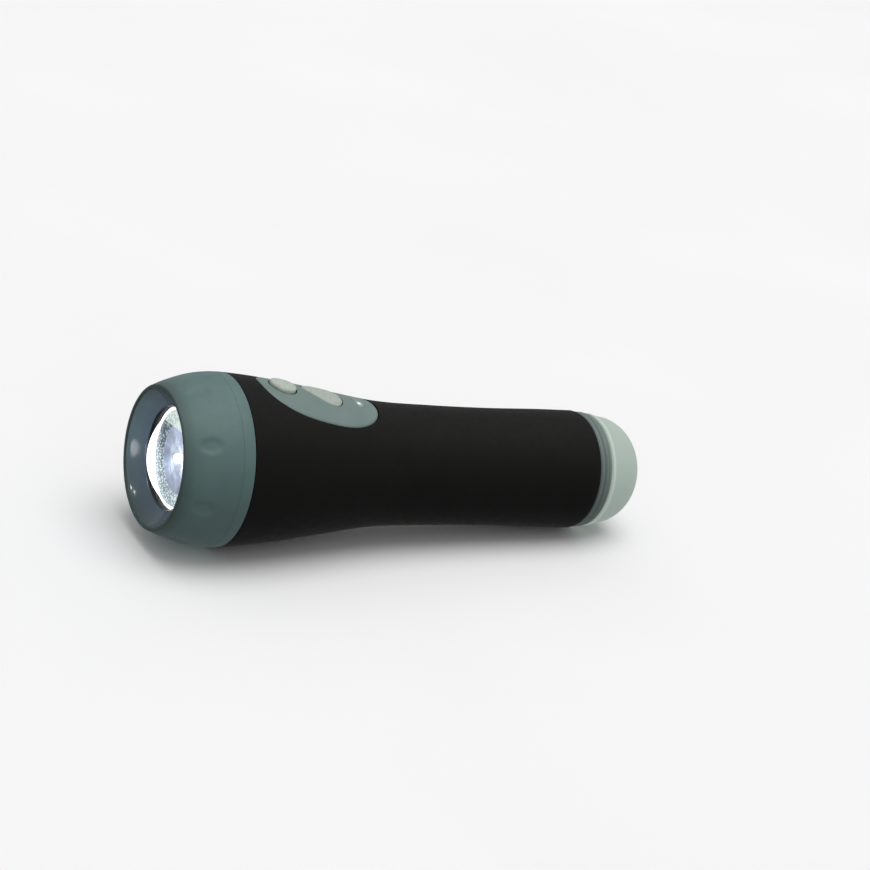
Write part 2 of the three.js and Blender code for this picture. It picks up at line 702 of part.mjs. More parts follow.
const PIPE_BASE = SWITCH_BASE + INDICATOR_LED_HEIGHT + FIT;
function indicatorLens() {
  const cap = common(gripLayer(-INDICATOR_RISE, SEAT_OFFSET), prism(indicatorOutline(0), 0, PANEL_TOP));
  const top = gripRadius(INDICATOR_PLACE) - SEAT_OFFSET / 2;
  return join(cap, upright(PIPE_RADIUS, PIPE_BASE, top, INDICATOR_PLACE));
}

// Drive train stations, laid out forwards from the crank hub.
const HUB_FRONT = DOME_BASE - HUB_DEPTH;
const WEB_REAR = HUB_FRONT - FIT - WASHER_THICKNESS - FIT;
const WEB_FRONT = WEB_REAR - COLLAR_WEB;
const RING_WEB_REAR = WEB_FRONT - RING_END_PLAY;
const RING_WEB_FRONT = RING_WEB_REAR - RING_WEB;
const RING_FRONT = RING_WEB_FRONT - RING_FACE;
const WHEEL_REAR = RING_FRONT - FIT;
const WHEEL_FRONT = WHEEL_REAR - WHEEL_FACE;
const GEAR_PLATE_REAR = WHEEL_FRONT - FIT;
const GEAR_PLATE_FRONT = GEAR_PLATE_REAR - PLATE_THICKNESS;
const STATOR_REAR = GEAR_PLATE_FRONT - FIT;
const STATOR_FRONT = STATOR_REAR - STATOR_LENGTH;
const GENERATOR_PLATE_REAR = STATOR_FRONT - FIT;
const GENERATOR_PLATE_FRONT = GENERATOR_PLATE_REAR - PLATE_THICKNESS;
const CONTACT_REAR_BACK = GENERATOR_PLATE_FRONT - FIT;
const HOLDER_REAR = CONTACT_REAR_BACK - CONTACT_THICKNESS - FIT;
const HOLDER_FRONT = HOLDER_REAR - CELL_LENGTH - FIT;
const CONTACT_FRONT_BACK = HOLDER_FRONT - FIT;
const FRAME_REAR = CONTACT_FRONT_BACK - CONTACT_THICKNESS - FIT;
const FRAME_FRONT = HEAT_SINK_END + FIT;

// Frame: two discs inside the shells, joined by a deck under the switch board.
const FRAME_DISC_BACK = FRAME_FRONT + FRAME_DISC;
const WIRE_HEIGHT = MAIN_BOARD_HEIGHT + BOARD_THICKNESS + FIT + WIRE_RADIUS;
const WIRE_HOLE = WIRE_RADIUS + FIT;
function wireHoles(start, end) {
  return [-1, 1].map((side) =>
    rod(start, end, WIRE_HOLE, SMALL_SIDES).translate(0, side * WIRE_SPREAD, WIRE_HEIGHT));
}

function innerFrame() {
  const frontRadius = innerRadius(FRAME_FRONT, FRAME_DISC_BACK);
  const rearStart = FRAME_REAR - FRAME_DISC;
  const rearRadius = innerRadius(rearStart, FRAME_REAR);
  const front = tube(FRAME_FRONT, FRAME_DISC_BACK, frontRadius, FRAME_BORE);
  const rear = rod(rearStart, FRAME_REAR, rearRadius);
  const span = [FRAME_DISC_BACK - FIT, rearStart + FIT];
  const side = DECK_WIDTH / 2;
  const keelSide = DECK_THICKNESS / 2;
  const deck = block(...span, -side, side, DECK_HEIGHT, DECK_TOP);
  const keel = block(...span, -keelSide, keelSide, WIRE_HEIGHT - WIRE_HOLE, DECK_HEIGHT + FIT);
  return cut(join(front, rear, deck, keel), ...wireHoles(FRAME_FRONT - OVERRUN, FRAME_REAR + OVERRUN));
}

function switchBoard() {
  const start = FRAME_DISC_BACK + FIT;
  const end = FRAME_REAR - FRAME_DISC - FIT;
  const width = DECK_WIDTH - FIT;
  return block(start, end, -width / 2, width / 2, SWITCH_BOARD_BASE, SWITCH_BOARD_TOP);
}

function tactSwitch(place) {
  const half = SWITCH_SIZE / 2;
  const body = block(place - half, place + half, -half, half, SWITCH_BASE, SWITCH_TOP);
  return join(body, upright(PLUNGER_RADIUS, SWITCH_TOP - FIT, PLUNGER_TOP, place));
}

function indicatorLed() {
  const half = INDICATOR_LENGTH / 2;
  return block(INDICATOR_PLACE - half, INDICATOR_PLACE + half, -half / 2, half / 2,
    SWITCH_BASE, SWITCH_BASE + INDICATOR_LED_HEIGHT);
}

// Battery: three cells in joined tubes between two flanges, low in the grip.
const CELL_CIRCLE = (2 * (CELL_RADIUS + FIT)) / Math.sqrt(3);
const CELL_NAMES = ["cell_top", "cell_left", "cell_right"];
const CELL_PLACES = CELL_NAMES.map((name, k) => {
  const angle = (k / CELL_NAMES.length) * Math.PI * 2;
  return [-Math.sin(angle) * CELL_CIRCLE, Math.cos(angle) * CELL_CIRCLE - CELL_DROP];
});

function cell(k) {
  const start = HOLDER_FRONT + FIT / 2;
  const tip = HOLDER_REAR - FIT / 2;
  const body = turned([
    [start, 0],
    [start, CELL_RADIUS],
    [tip - CELL_TIP, CELL_RADIUS],
    [tip - CELL_TIP, CELL_TIP_RADIUS],
    [tip, CELL_TIP_RADIUS],
    [tip, 0],
  ], CELL_SIDES);
  return body.translate(0, ...CELL_PLACES[k]);
}

const BATTERY_RADIUS = innerRadius(HOLDER_FRONT, HOLDER_REAR);
function batteryHolder() {
  const bore = CELL_RADIUS + FIT;
  const [before, after] = [HOLDER_FRONT - OVERRUN, HOLDER_REAR + OVERRUN];
  const tubes = CELL_PLACES.map((place) =>
    rod(HOLDER_FRONT, HOLDER_REAR, bore + HOLDER_TUBE_WALL, CELL_SIDES).translate(0, ...place));
  const bores = CELL_PLACES.map((place) => rod(before, after, bore, CELL_SIDES).translate(0, ...place));
  const flanges = [HOLDER_FRONT, HOLDER_REAR - HOLDER_FLANGE].map((start) =>
    rod(start, start + HOLDER_FLANGE, BATTERY_RADIUS));
  const above = block(before, after, -HEAD_RADIUS, HEAD_RADIUS, MAIN_BOARD_HEIGHT - FIT, HEAD_RADIUS);
  const blank = common(join(...tubes, ...flanges), rod(HOLDER_FRONT, HOLDER_REAR, BATTERY_RADIUS));
  return cut(blank, ...bores, above);
}

function contact(start) {
  const end = start + CONTACT_THICKNESS;
  const radius = CELL_RADIUS - FIT;
  const discs = CELL_PLACES.map((place) => rod(start, end, radius, CELL_SIDES).translate(0, ...place));
  const bridge = rod(start, end, CELL_RADIUS, CELL_SIDES).translate(0, 0, -CELL_DROP);
  return join(bridge, ...discs);
}

function mainBoard() {
  const side = MAIN_BOARD_WIDTH / 2;
  const top = MAIN_BOARD_HEIGHT + BOARD_THICKNESS;
  return block(HOLDER_FRONT, HOLDER_REAR, -side, side, MAIN_BOARD_HEIGHT, top);
}

// Parts on the main board stand in a row along its middle.
const COMPONENT_BASE = MAIN_BOARD_HEIGHT + BOARD_THICKNESS + FIT;
const componentPlace = (name) => HOLDER_FRONT + CELL_LENGTH * COMPONENT_SHARES[name];
function driverChip() {
  const half = CHIP_SIZE / 2;
  const place = componentPlace("driver_chip");
  return block(place - half, place + half, -half, half, COMPONENT_BASE, COMPONENT_BASE + CHIP_HEIGHT);
}

function uprightComponent(name, radius, height) {
  return upright(radius, COMPONENT_BASE, COMPONENT_BASE + height, componentPlace(name));
}

// The pair of wires from the light runs straight under the deck to the main board.
function ledWire(side) {
  const y = side * WIRE_SPREAD;
  const start = HEAT_SINK_FRONT + HEAT_SINK_PLATE + FIT;
  const end = HOLDER_FRONT + CELL_LENGTH * WIRE_END_SHARE;
  const extrudePath = new THREE.LineCurve3(
    new THREE.Vector3(start, y, WIRE_HEIGHT),
    new THREE.Vector3(end, y, WIRE_HEIGHT),
  );
  const section = new THREE.Shape().absarc(0, 0, WIRE_RADIUS, 0, Math.PI * 2);
  return new THREE.ExtrudeGeometry(section, { extrudePath, steps: 1, curveSegments: WIRE_STEPS });
}

// Generator: a magnet on a shaft inside a wound stator, between two plates.
const PLATE_RADIUS = innerRadius(GENERATOR_PLATE_FRONT, GEAR_PLATE_REAR);
function generatorPlate() {
  return tube(GENERATOR_PLATE_FRONT, GENERATOR_PLATE_REAR, PLATE_RADIUS, BEARING_RADIUS + FIT);
}

function bearing(start) {
  return tube(start, start + PLATE_THICKNESS, BEARING_RADIUS, ROTOR_SHAFT_RADIUS + FIT, SMALL_SIDES);
}

function stator() {
  const slot = PLATE_RADIUS - STATOR_WALL;
  return turned([
    [STATOR_FRONT, STATOR_BORE],
    [STATOR_FRONT, PLATE_RADIUS],
    [STATOR_REAR, PLATE_RADIUS],
    [STATOR_REAR, STATOR_BORE],
    [STATOR_REAR - STATOR_WALL, STATOR_BORE],
    [STATOR_REAR - STATOR_WALL, slot],
    [STATOR_FRONT + STATOR_WALL, slot],
    [STATOR_FRONT + STATOR_WALL, STATOR_BORE],
  ], MEDIUM_SIDES);
}

function coil() {
  const outer = PLATE_RADIUS - STATOR_WALL - FIT;
  const inset = STATOR_WALL + FIT;
  return tube(STATOR_FRONT + inset, STATOR_REAR - inset, outer, STATOR_BORE);
}

function magnet() {
  const inset = STATOR_WALL;
  return tube(STATOR_FRONT + inset, STATOR_REAR - inset, MAGNET_RADIUS, ROTOR_SHAFT_RADIUS + FIT);
}

// Gears with straight-sided teeth; a tooth points along Z before the turn.
function gearOutline(teeth, turn, inner = false) {
  const pitch = (teeth * GEAR_MODULE) / 2;
  const tip = pitch + (inner ? -1 : 1) * TOOTH_TOP_SHARE * GEAR_MODULE;
  const root = pitch + (inner ? 1 : -1) * TOOTH_ROOT_SHARE * GEAR_MODULE;
  const step = (Math.PI * 2) / teeth;
  const points = [];
  for (let k = 0; k < teeth; k += 1) {
    const middle = turn + k * step;
    const corners = [
      [-TOOTH_BASE_SHARE, root],
      [-TOOTH_TIP_SHARE, tip],
      [TOOTH_TIP_SHARE, tip],
      [TOOTH_BASE_SHARE, root],
    ];
    for (const [share, radius] of corners) {
      const angle = middle + share * step;
      points.push(new THREE.Vector2(-Math.sin(angle) * radius, Math.cos(angle) * radius));
    }
  }
  return points;
}

const IDLER_OFFSET = ((RING_TEETH - IDLER_PINION_TEETH) * GEAR_MODULE) / 2;
function roundHole(radius, sides = SMALL_SIDES) {
  const points = [];
  for (let k = 0; k < sides; k += 1) {
    const angle = (k / sides) * Math.PI * 2;
    points.push(new THREE.Vector2(Math.cos(angle) * radius, Math.sin(angle) * radius));
  }
  return points;
}

// The idler lies under the axis: its pinion meets the ring and its wheel meets the rotor's pinion.
function idlerGear() {
  const bore = IDLER_PIN_RADIUS + FIT;
  const wheel = plate(gearOutline(IDLER_WHEEL_TEETH, 0), WHEEL_FRONT, WHEEL_REAR, roundHole(bore));
  const teeth = gearOutline(IDLER_PINION_TEETH, Math.PI);
  const pinion = plate(teeth, WHEEL_REAR - FIT, RING_WEB_FRONT - FIT, roundHole(bore));
  return join(wheel, pinion).translate(0, 0, -IDLER_OFFSET);
}

function rotorShaft() {
  const start = GENERATOR_PLATE_FRONT;
  const shaft = rod(start, WHEEL_REAR, ROTOR_SHAFT_RADIUS, SMALL_SIDES);
  const halfStep = Math.PI / ROTOR_PINION_TEETH;
  const pinion = plate(gearOutline(ROTOR_PINION_TEETH, Math.PI + halfStep), WHEEL_FRONT, WHEEL_REAR);
  return join(shaft, pinion);
}

function ringGear() {
  const halfStep = Math.PI / RING_TEETH;
  const rootRadius = (RING_TEETH / 2 + TOOTH_ROOT_SHARE) * GEAR_MODULE;
  const teeth = gearOutline(RING_TEETH, Math.PI + halfStep, true);
  const rim = roundHole(rootRadius + RING_WALL, SIDES);
  const ring = plate(rim, RING_FRONT, RING_WEB_FRONT + FIT, teeth);
  const web = plate(rim, RING_WEB_FRONT, RING_WEB_REAR, roundHole(SHAFT_RADIUS + FIT, MEDIUM_SIDES));
  return join(ring, web);
}

function idlerPin() {
  const pin = rod(GEAR_PLATE_FRONT, RING_WEB_FRONT - FIT, IDLER_PIN_RADIUS, SMALL_SIDES);
  return pin.translate(0, 0, -IDLER_OFFSET);
}

function gearPlate() {
  const disc = tube(GEAR_PLATE_FRONT, GEAR_PLATE_REAR, PLATE_RADIUS, BEARING_RADIUS + FIT);
  const [before, after] = [GEAR_PLATE_FRONT - OVERRUN, GEAR_PLATE_REAR + OVERRUN];
  const hole = rod(before, after, IDLER_PIN_RADIUS + FIT, SMALL_SIDES);
  return cut(disc, hole.translate(0, 0, -IDLER_OFFSET));
}

// Crank shaft: it passes the collar's web in a bush, and a clip holds the ring gear on it.
const BUSH_RADIUS = SHAFT_RADIUS + FIT + BUSH_WALL;
const CLIP_REAR = RING_WEB_FRONT - FIT;
const CLIP_FRONT = CLIP_REAR - CLIP_THICKNESS;
function crankShaft() {
  const neck = SHAFT_RADIUS - 2 * FIT;
  const front = CLIP_FRONT - FIT;
  return turned([
    [front, 0],
    [front, neck],
    [CLIP_REAR + FIT, neck],
    [CLIP_REAR + FIT, SHAFT_RADIUS],
    [DOME_BASE - FIT, SHAFT_RADIUS],
    [DOME_BASE - FIT, 0],
  ], MEDIUM_SIDES);
}

function retainingClip() {
  return tube(CLIP_FRONT, CLIP_REAR, SHAFT_RADIUS + FIT, SHAFT_RADIUS - FIT);
}

function crankBush() {
  return tube(WEB_FRONT - FIT, WEB_REAR, BUSH_RADIUS, SHAFT_RADIUS + FIT);
}

// Tail collar: a ridged band behind the sleeve, with a spigot under it and a web for the bush.
const COLLAR_BORE = HUB_RADIUS + FIT;
function tailCollar() {
  const spigot = TAIL_RADIUS - SEAT_OFFSET;
  const bandStart = REAR_EDGE + FIT;
  const bandEnd = DOME_BASE - FIT / 2;
  const ridges = [];
  for (let k = 0; k < 2; k += 1) {
    const middle = bandStart + (k + 1) * COLLAR_RIDGE_SPACING - COLLAR_RIDGE;
    ridges.push([middle - COLLAR_RIDGE, COLLAR_RADIUS]);
    ridges.push([middle, COLLAR_RADIUS + COLLAR_RIDGE]);
    ridges.push([middle + COLLAR_RIDGE, COLLAR_RADIUS]);
  }
  return turned([
    [SHELL_END + FIT, BUSH_RADIUS + FIT],
    [SHELL_END + FIT, spigot],
    [bandStart, spigot],
    [bandStart, COLLAR_RADIUS],
    ...ridges,
    [bandEnd, COLLAR_RADIUS],
    [bandEnd, COLLAR_BORE],
    [WEB_REAR, COLLAR_BORE],
    [WEB_REAR, BUSH_RADIUS + FIT],
  ]);
}

// Crank: places in the crank group, where Z runs across the dome from the knob's side to the hinge's side.
const HINGE_X = DOME_BASE + HINGE_HEIGHT;
const SLOT_HALF = ARM_WIDTH / 2 + FIT;
const CHEEK_HALF = SLOT_HALF + CHEEK_WALL;
const BOSS_FACE = HINGE_X - FIT;
const KNOB_TIP = BOSS_FACE - FIT - KNOB_LENGTH;
const POCKET_FLOOR = KNOB_TIP - FIT;
const POCKET_INNER = -(KNOB_OFFSET - KNOB_RADIUS - FIT);
const POCKET_OUTER = -(KNOB_OFFSET + KNOB_RADIUS + POCKET_ROOM);
const CHANNEL_FLOOR = DOME_BASE + SLOT_FLOOR;
const PAST_DOME = DOME_BASE + DOME_HEIGHT + OVERRUN;
const REACH = DOME_RADIUS + OVERRUN;

function crossRod(x, z, radius, half, sides = MEDIUM_SIDES) {
  return new THREE.CylinderGeometry(radius, radius, 2 * half, sides).translate(x, 0, z);
}

const DOME_FRONT = DOME_BASE + FIT;
function crankDome() {
  const outer = turned([[DOME_BASE, 0], ...domeOutline()]);
  const hollow = turned([[DOME_BASE, 0], ...domeOutline(DOME_WALL)]);
  const bounds = block(DOME_FRONT, PAST_DOME, -CHEEK_HALF, CHEEK_HALF, -REACH, REACH);
  const whole = block(DOME_FRONT, PAST_DOME, -REACH, REACH, -REACH, REACH);
  const shell = cut(common(outer, whole), hollow);
  const spine = common(outer, bounds);
  const channel = block(CHANNEL_FLOOR, PAST_DOME, -SLOT_HALF, SLOT_HALF, -REACH, REACH);
  const mouth = block(DOME_BASE + POCKET_ROOM, PAST_DOME, -SLOT_HALF, SLOT_HALF, -REACH, POCKET_INNER);
  const well = block(DOME_BASE - OVERRUN, PAST_DOME, -SLOT_HALF, SLOT_HALF, POCKET_OUTER, POCKET_INNER);
  const pin = crossRod(HINGE_X, HINGE_OFFSET, PIN_RADIUS + FIT / 2, REACH, SMALL_SIDES);
  const screws = domeScrewRods(SCREW_RADIUS + FIT, DOME_BASE - OVERRUN, DOME_SCREW_END + FIT);
  return cut(join(shell, spine), channel, mouth, well, pin, ...screws);
}

// Two screws from the hub's front hold the dome by the channel floor.
const DOME_SCREW_END = DOME_FRONT + DOME_SCREW_REACH;
const DOME_SCREW_HEAD = HUB_FRONT + SCREW_HEAD_HEIGHT + FIT;
const DOME_SCREW_SIDES = { left: -1, right: 1 };
function domeScrewRods(radius, start, end) {
  return Object.values(DOME_SCREW_SIDES).map((side) =>
    rod(start, end, radius, SMALL_SIDES).translate(0, (side * DOME_SCREW_SPREAD) / 2, DOME_SCREW_OFFSET));
}

function domeScrew(side) {
  const head = DOME_SCREW_HEAD - FIT;
  const screw = turned([
    [head - SCREW_HEAD_HEIGHT, 0],
    [head - SCREW_HEAD_HEIGHT, SCREW_HEAD_RADIUS],
    [head, SCREW_HEAD_RADIUS],
    [head, SCREW_RADIUS],
    [DOME_SCREW_END, SCREW_RADIUS],
    [DOME_SCREW_END, 0],
  ], SMALL_SIDES);
  return screw.translate(0, (side * DOME_SCREW_SPREAD) / 2, DOME_SCREW_OFFSET);
}

function crankHub() {
  const disc = tube(HUB_FRONT, DOME_BASE, HUB_RADIUS, SHAFT_RADIUS + FIT, SIDES);
  const well = block(POCKET_FLOOR, PAST_DOME, -SLOT_HALF, SLOT_HALF, POCKET_OUTER, POCKET_INNER);
  const shanks = domeScrewRods(SCREW_RADIUS + FIT, HUB_FRONT - OVERRUN, DOME_BASE + OVERRUN);
  const heads = domeScrewRods(SCREW_HEAD_RADIUS + FIT, HUB_FRONT - OVERRUN, DOME_SCREW_HEAD);
  return cut(disc, well, ...shanks, ...heads);
}

// The arm follows the dome from its hinge to the boss that carries the knob.
function crankArm() {
  const half = ARM_WIDTH / 2;
  const outer = turned([[DOME_BASE, 0], ...domeOutline()]);
  const inner = turned([[DOME_BASE, 0], ...domeOutline(ARM_WALL)]);
  const reachUp = HINGE_OFFSET + KNUCKLE_RADIUS;
  const strap = common(cut(outer, inner), block(BOSS_FACE, PAST_DOME, -half, half, -REACH, reachUp));
  const below = block(DOME_BASE, HINGE_X, -half, half, 0, REACH);
  const knuckle = crossRod(HINGE_X, HINGE_OFFSET, KNUCKLE_RADIUS, half);
  const boss = common(
    rod(BOSS_FACE, PAST_DOME, KNOB_RADIUS - FIT).translate(0, 0, -KNOB_OFFSET),
    outer,
  );
  const pin = crossRod(HINGE_X, HINGE_OFFSET, PIN_RADIUS + FIT, REACH, SMALL_SIDES);
  const axle = rod(BOSS_FACE - OVERRUN, AXLE_END + FIT, AXLE_RADIUS + FIT, SMALL_SIDES);
  return cut(join(cut(strap, below), knuckle, boss), pin, axle.translate(0, 0, -KNOB_OFFSET));
}

function hingePin() {
  return crossRod(HINGE_X, HINGE_OFFSET, PIN_RADIUS, CHEEK_HALF - FIT, SMALL_SIDES);
}

// The knob turns on an axle whose head sits in a recess at its tip.
const AXLE_END = BOSS_FACE + ARM_WALL / 2;
function knob() {
  const top = BOSS_FACE - FIT;
  const shape = turned([
    [KNOB_TIP, AXLE_HEAD_RADIUS + FIT],
    [KNOB_TIP, KNOB_RADIUS - KNOB_ROUND],
    [KNOB_TIP + KNOB_ROUND, KNOB_RADIUS],
    [top - KNOB_ROUND, KNOB_RADIUS],
    [top, KNOB_RADIUS - KNOB_ROUND],
    [top, AXLE_RADIUS + FIT],
    [KNOB_TIP + KNOB_RECESS, AXLE_RADIUS + FIT],
    [KNOB_TIP + KNOB_RECESS, AXLE_HEAD_RADIUS + FIT],
  ], MEDIUM_SIDES);
  return shape.translate(0, 0, -KNOB_OFFSET);
}

function knobAxle() {
  const headBack = KNOB_TIP + KNOB_RECESS - FIT;
  const shape = turned([
    [KNOB_TIP + FIT, 0],
    [KNOB_TIP + FIT, AXLE_HEAD_RADIUS],
    [headBack, AXLE_HEAD_RADIUS],
    [headBack, AXLE_RADIUS],
    [AXLE_END, AXLE_RADIUS],
    [AXLE_END, 0],
  ], SMALL_SIDES);
  return shape.translate(0, 0, -KNOB_OFFSET);
}

// Head and optics
add("bezel_boot", bezelBoot(), COLORS.boot);
add("bezel_ring", bezelRing(), COLORS.ring);
add("lens", lens(), COLORS.clear);
add(
  "lens_seal",
  tube(SEAL_FRONT, SEAL_FRONT + SEAL_SECTION, HOLDER_RADIUS, HOLDER_RADIUS - SEAL_SECTION),
  COLORS.rubber,
);
add("optic_holder", opticHolder(), COLORS.silver);
add("collimator", collimator(), COLORS.clear);
add("led_emitter", ledEmitter(), COLORS.led);
add("led_board", ledBoard(), COLORS.board);
add("led_screw_left", ledScrew(-1), COLORS.steel);
add("led_screw_right", ledScrew(1), COLORS.steel);
add("heat_sink", heatSink(), COLORS.aluminium);
add(
  "bezel_seal",
  tube(NECK_STEP + FIT, NECK_FRONT - FIT, NECK_RADIUS, NECK_RADIUS - SEAL_SECTION, SIDES),
  COLORS.rubber,
);

// Grip and controls
add("grip_sleeve", gripSleeve(), COLORS.sleeve);
add("shell_upper", shellUpper(), COLORS.shell);
add("shell_lower", shellHalf(-1), COLORS.shell);
add("control_panel", controlPanel(), COLORS.panel);
add("button_power", button(powerOutline, POWER_PLACE, POWER_RISE), COLORS.button);
add("button_mode", button(modeOutline, MODE_PLACE, MODE_RISE), COLORS.button);
add("indicator_lens", indicatorLens(), COLORS.clear);
add("indicator_led", indicatorLed(), COLORS.led);
add("inner_frame", innerFrame(), COLORS.nylon);
add("switch_board", switchBoard(), COLORS.board);
add("switch_power", tactSwitch(POWER_PLACE), COLORS.chip);
add("switch_mode", tactSwitch(MODE_PLACE), COLORS.chip);

// Battery and electronics
add("battery_holder", batteryHolder(), COLORS.shell);
CELL_NAMES.forEach((name, k) => add(name, cell(k), COLORS.cell));
add("contact_front", contact(CONTACT_FRONT_BACK - CONTACT_THICKNESS), COLORS.brass);
add("contact_rear", contact(CONTACT_REAR_BACK - CONTACT_THICKNESS), COLORS.brass);
add("main_board", mainBoard(), COLORS.board);
add("driver_chip", driverChip(), COLORS.chip);
add("inductor", uprightComponent("inductor", INDUCTOR_RADIUS, INDUCTOR_HEIGHT), COLORS.chip);
add("capacitor", uprightComponent("capacitor", CAPACITOR_RADIUS, CAPACITOR_HEIGHT), COLORS.aluminium);
add("led_wire_left", ledWire(-1), COLORS.redWire);
add("led_wire_right", ledWire(1), COLORS.blackWire);

// Generator and gears
add("generator_plate", generatorPlate(), COLORS.nylon);
add("bearing_front", bearing(GENERATOR_PLATE_FRONT), COLORS.brass);
add("stator", stator(), COLORS.steel);
add("coil", coil(), COLORS.copper);
add("magnet", magnet(), COLORS.magnet);
add("rotor_shaft", rotorShaft(), COLORS.steel);
add("gear_plate", gearPlate(), COLORS.nylon);
add("bearing_rear", bearing(GEAR_PLATE_FRONT), COLORS.brass);
add("idler_pin", idlerPin(), COLORS.steel);
add("idler_gear", idlerGear(), COLORS.nylon);
add("ring_gear", ringGear(), COLORS.nylon);

// Tail and crank
add("tail_collar", tailCollar(), COLORS.band);
add("crank_bush", crankBush(), COLORS.brass);
add("thrust_washer", tube(WEB_REAR + FIT, HUB_FRONT - FIT, WASHER_RADIUS, SHAFT_RADIUS + FIT), COLORS.nylon);
add("crank_shaft", crankShaft(), COLORS.steel);
add("retaining_clip", retainingClip(), COLORS.steel);
add("crank_hub", crankHub(), COLORS.shell, crank);
add("crank_dome", crankDome(), COLORS.dome, crank);
for (const [name, side] of Object.entries(DOME_SCREW_SIDES)) {
  add("dome_screw_" + name, domeScrew(side), COLORS.steel, crank);
}
add("hinge_pin", hingePin(), COLORS.steel, crank);
add("crank_arm", crankArm(), COLORS.dome, crank);
add("knob_axle", knobAxle(), COLORS.steel, crank);
add("knob", knob(), COLORS.boot, crank);

// The torch lies on its head and its tail edge, so its axis dips towards the tail.
const TILT = Math.atan2(HEAD_RADIUS - TAIL_RADIUS, REAR_EDGE - HEAD_PEAK);
torch.rotation.y = TILT;
const flashlight = new THREE.Group();
flashlight.add(torch);
flashlight.updateMatrixWorld(true);
const bounds = new THREE.Box3().setFromObject(flashlight, true);
const middle = bounds.getCenter(new THREE.Vector3());
torch.position.set(-middle.x, -middle.y, -bounds.min.z);

export default flashlight;
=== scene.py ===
"""Looks of a hand crank flashlight: a rubber-bound lamp head, a waisted black grip with a control panel,
and a tail dome that unfolds into a crank. Every visible piece is built in the torch's own axes (x from the
front rim to the tail, y to its side, z up through the panel), in metres, and then placed in the frame."""

import json
import math

import bmesh
import bpy
from mathutils import Matrix, Vector


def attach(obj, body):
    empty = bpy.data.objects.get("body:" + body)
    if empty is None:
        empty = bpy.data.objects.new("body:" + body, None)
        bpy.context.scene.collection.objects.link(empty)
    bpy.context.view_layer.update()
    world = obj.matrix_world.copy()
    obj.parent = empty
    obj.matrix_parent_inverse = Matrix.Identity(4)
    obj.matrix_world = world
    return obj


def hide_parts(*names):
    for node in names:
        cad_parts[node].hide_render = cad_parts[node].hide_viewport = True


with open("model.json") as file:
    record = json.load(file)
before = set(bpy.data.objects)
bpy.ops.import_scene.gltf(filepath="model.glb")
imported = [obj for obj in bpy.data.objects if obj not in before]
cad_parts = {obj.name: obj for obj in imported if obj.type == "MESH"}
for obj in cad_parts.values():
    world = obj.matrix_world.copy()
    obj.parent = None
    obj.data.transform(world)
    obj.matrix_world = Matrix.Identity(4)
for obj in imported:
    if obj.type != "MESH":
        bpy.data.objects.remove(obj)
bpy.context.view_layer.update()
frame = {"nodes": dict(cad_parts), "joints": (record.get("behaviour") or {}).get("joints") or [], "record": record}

MM = 0.001

# Meshes: tolerances, how far cutting tools reach past what they cut, and points around turns and corners
WELD_DISTANCE = 0.001 * MM
BEVEL_WELD = 0.004 * MM
SPECK = 0.01 * MM
OVERRUN = 3 * MM
SHARP_ANGLE = 35
BOOT_SEGMENTS = 240
ROUND_SEGMENTS = 200
GLOW_SEGMENTS = 180
OPTIC_SEGMENTS = 120
KNOB_SEGMENTS = 96
BOSS_SEGMENTS = 64
SMALL_SEGMENTS = 48
ROUND_STEPS = 6
BEVEL_STEPS = 3
OVAL_POINTS = 160
EGG_STEPS = 80

# The photograph's view of the torch
CAMERA_AZIMUTH = math.radians(-32.28)
CAMERA_ELEVATION = math.radians(22.74)
CAMERA_ROLL = math.radians(12.34)
CAMERA_DISTANCE = 0.8595
CAMERA_TARGET = Vector((0.0100, -0.0023, 0.0370))
CAMERA_LENS = 103.45

# Head
RIM_RADIUS = 23.3 * MM
RIM_FLAT = 0.6 * MM
RIM_ROUND = 0.5 * MM
RIM_INNER_ROUND = 0.35 * MM
RIM_SEAT = 0.1 * MM
HEAD_RADIUS = 29.0 * MM
HEAD_PEAK = 20.0 * MM
HEAD_DROP = 4.9 * MM
HEAD_POWER = 1.9
BOOT_END = 18.8 * MM
BOOT_WALL = 2.0 * MM
BOOT_STEPS = 60
LIP_START = 18.83 * MM
CREASE_DEPTH = 0.06 * MM
CREASE_WIDTH = 0.08 * MM
CREASE_SHOULDER = 0.02 * MM
EDGE_ROUND = 0.3 * MM
RING_WALL = 3.2 * MM
RING_SEAT = 0.6 * MM
RING_GAP = 0.2 * MM
# The lip's rear corner: how far each point stays back from the lip's end and from its outside
LIP_CORNER = ((0.0, 0.3 * MM), (0.15 * MM, 0.05 * MM), (0.4 * MM, 0.0))
SEAM = 23.1 * MM
SEAM_GAP = 0.12 * MM
DIMPLES = 8
DIMPLE_PLACE = 8.3 * MM
DIMPLE_HALF_LENGTH = 3.9 * MM
DIMPLE_HALF_WIDTH = 2.6 * MM
DIMPLE_DEPTH = 0.55 * MM
DIMPLE_FLAT_SHARE = 0.45
DIMPLE_REACH = 1.2
DIMPLE_TURN = math.radians(10.6)

# Optics
FUNNEL_FRONT = 0.4 * MM
FUNNEL_FRONT_RADIUS = 22.85 * MM
FUNNEL_BACK = 5.4 * MM
FUNNEL_POWER = 1.3
FUNNEL_BACK_RADIUS = 17.05 * MM
FUNNEL_STEPS = 12
FUNNEL_EDGE = 0.08 * MM
STEP_TOLERANCE = 0.1 * MM
GROOVE_BACK = 7.95 * MM
WINDOW_PLACE = 7.7 * MM
WINDOW_RADIUS = 16.9 * MM
WINDOW_THICKNESS = 0.2 * MM
WINDOW_ROUND = 0.09 * MM
WINDOW_STEPS = 4
GLOW_RADIUS = 17.0 * MM
GLOW_REACH = 2.55 * MM
GLOW_TURN = math.radians(116.5)
GLOW_HALF_TURN = math.radians(48)
GLOW_BACK = 8.0 * MM
GLOW_BACK_RADIUS = 16.2 * MM
GLOW_LEAST_REACH = 0.1 * MM
GLOW_CORNER = 0.05 * MM
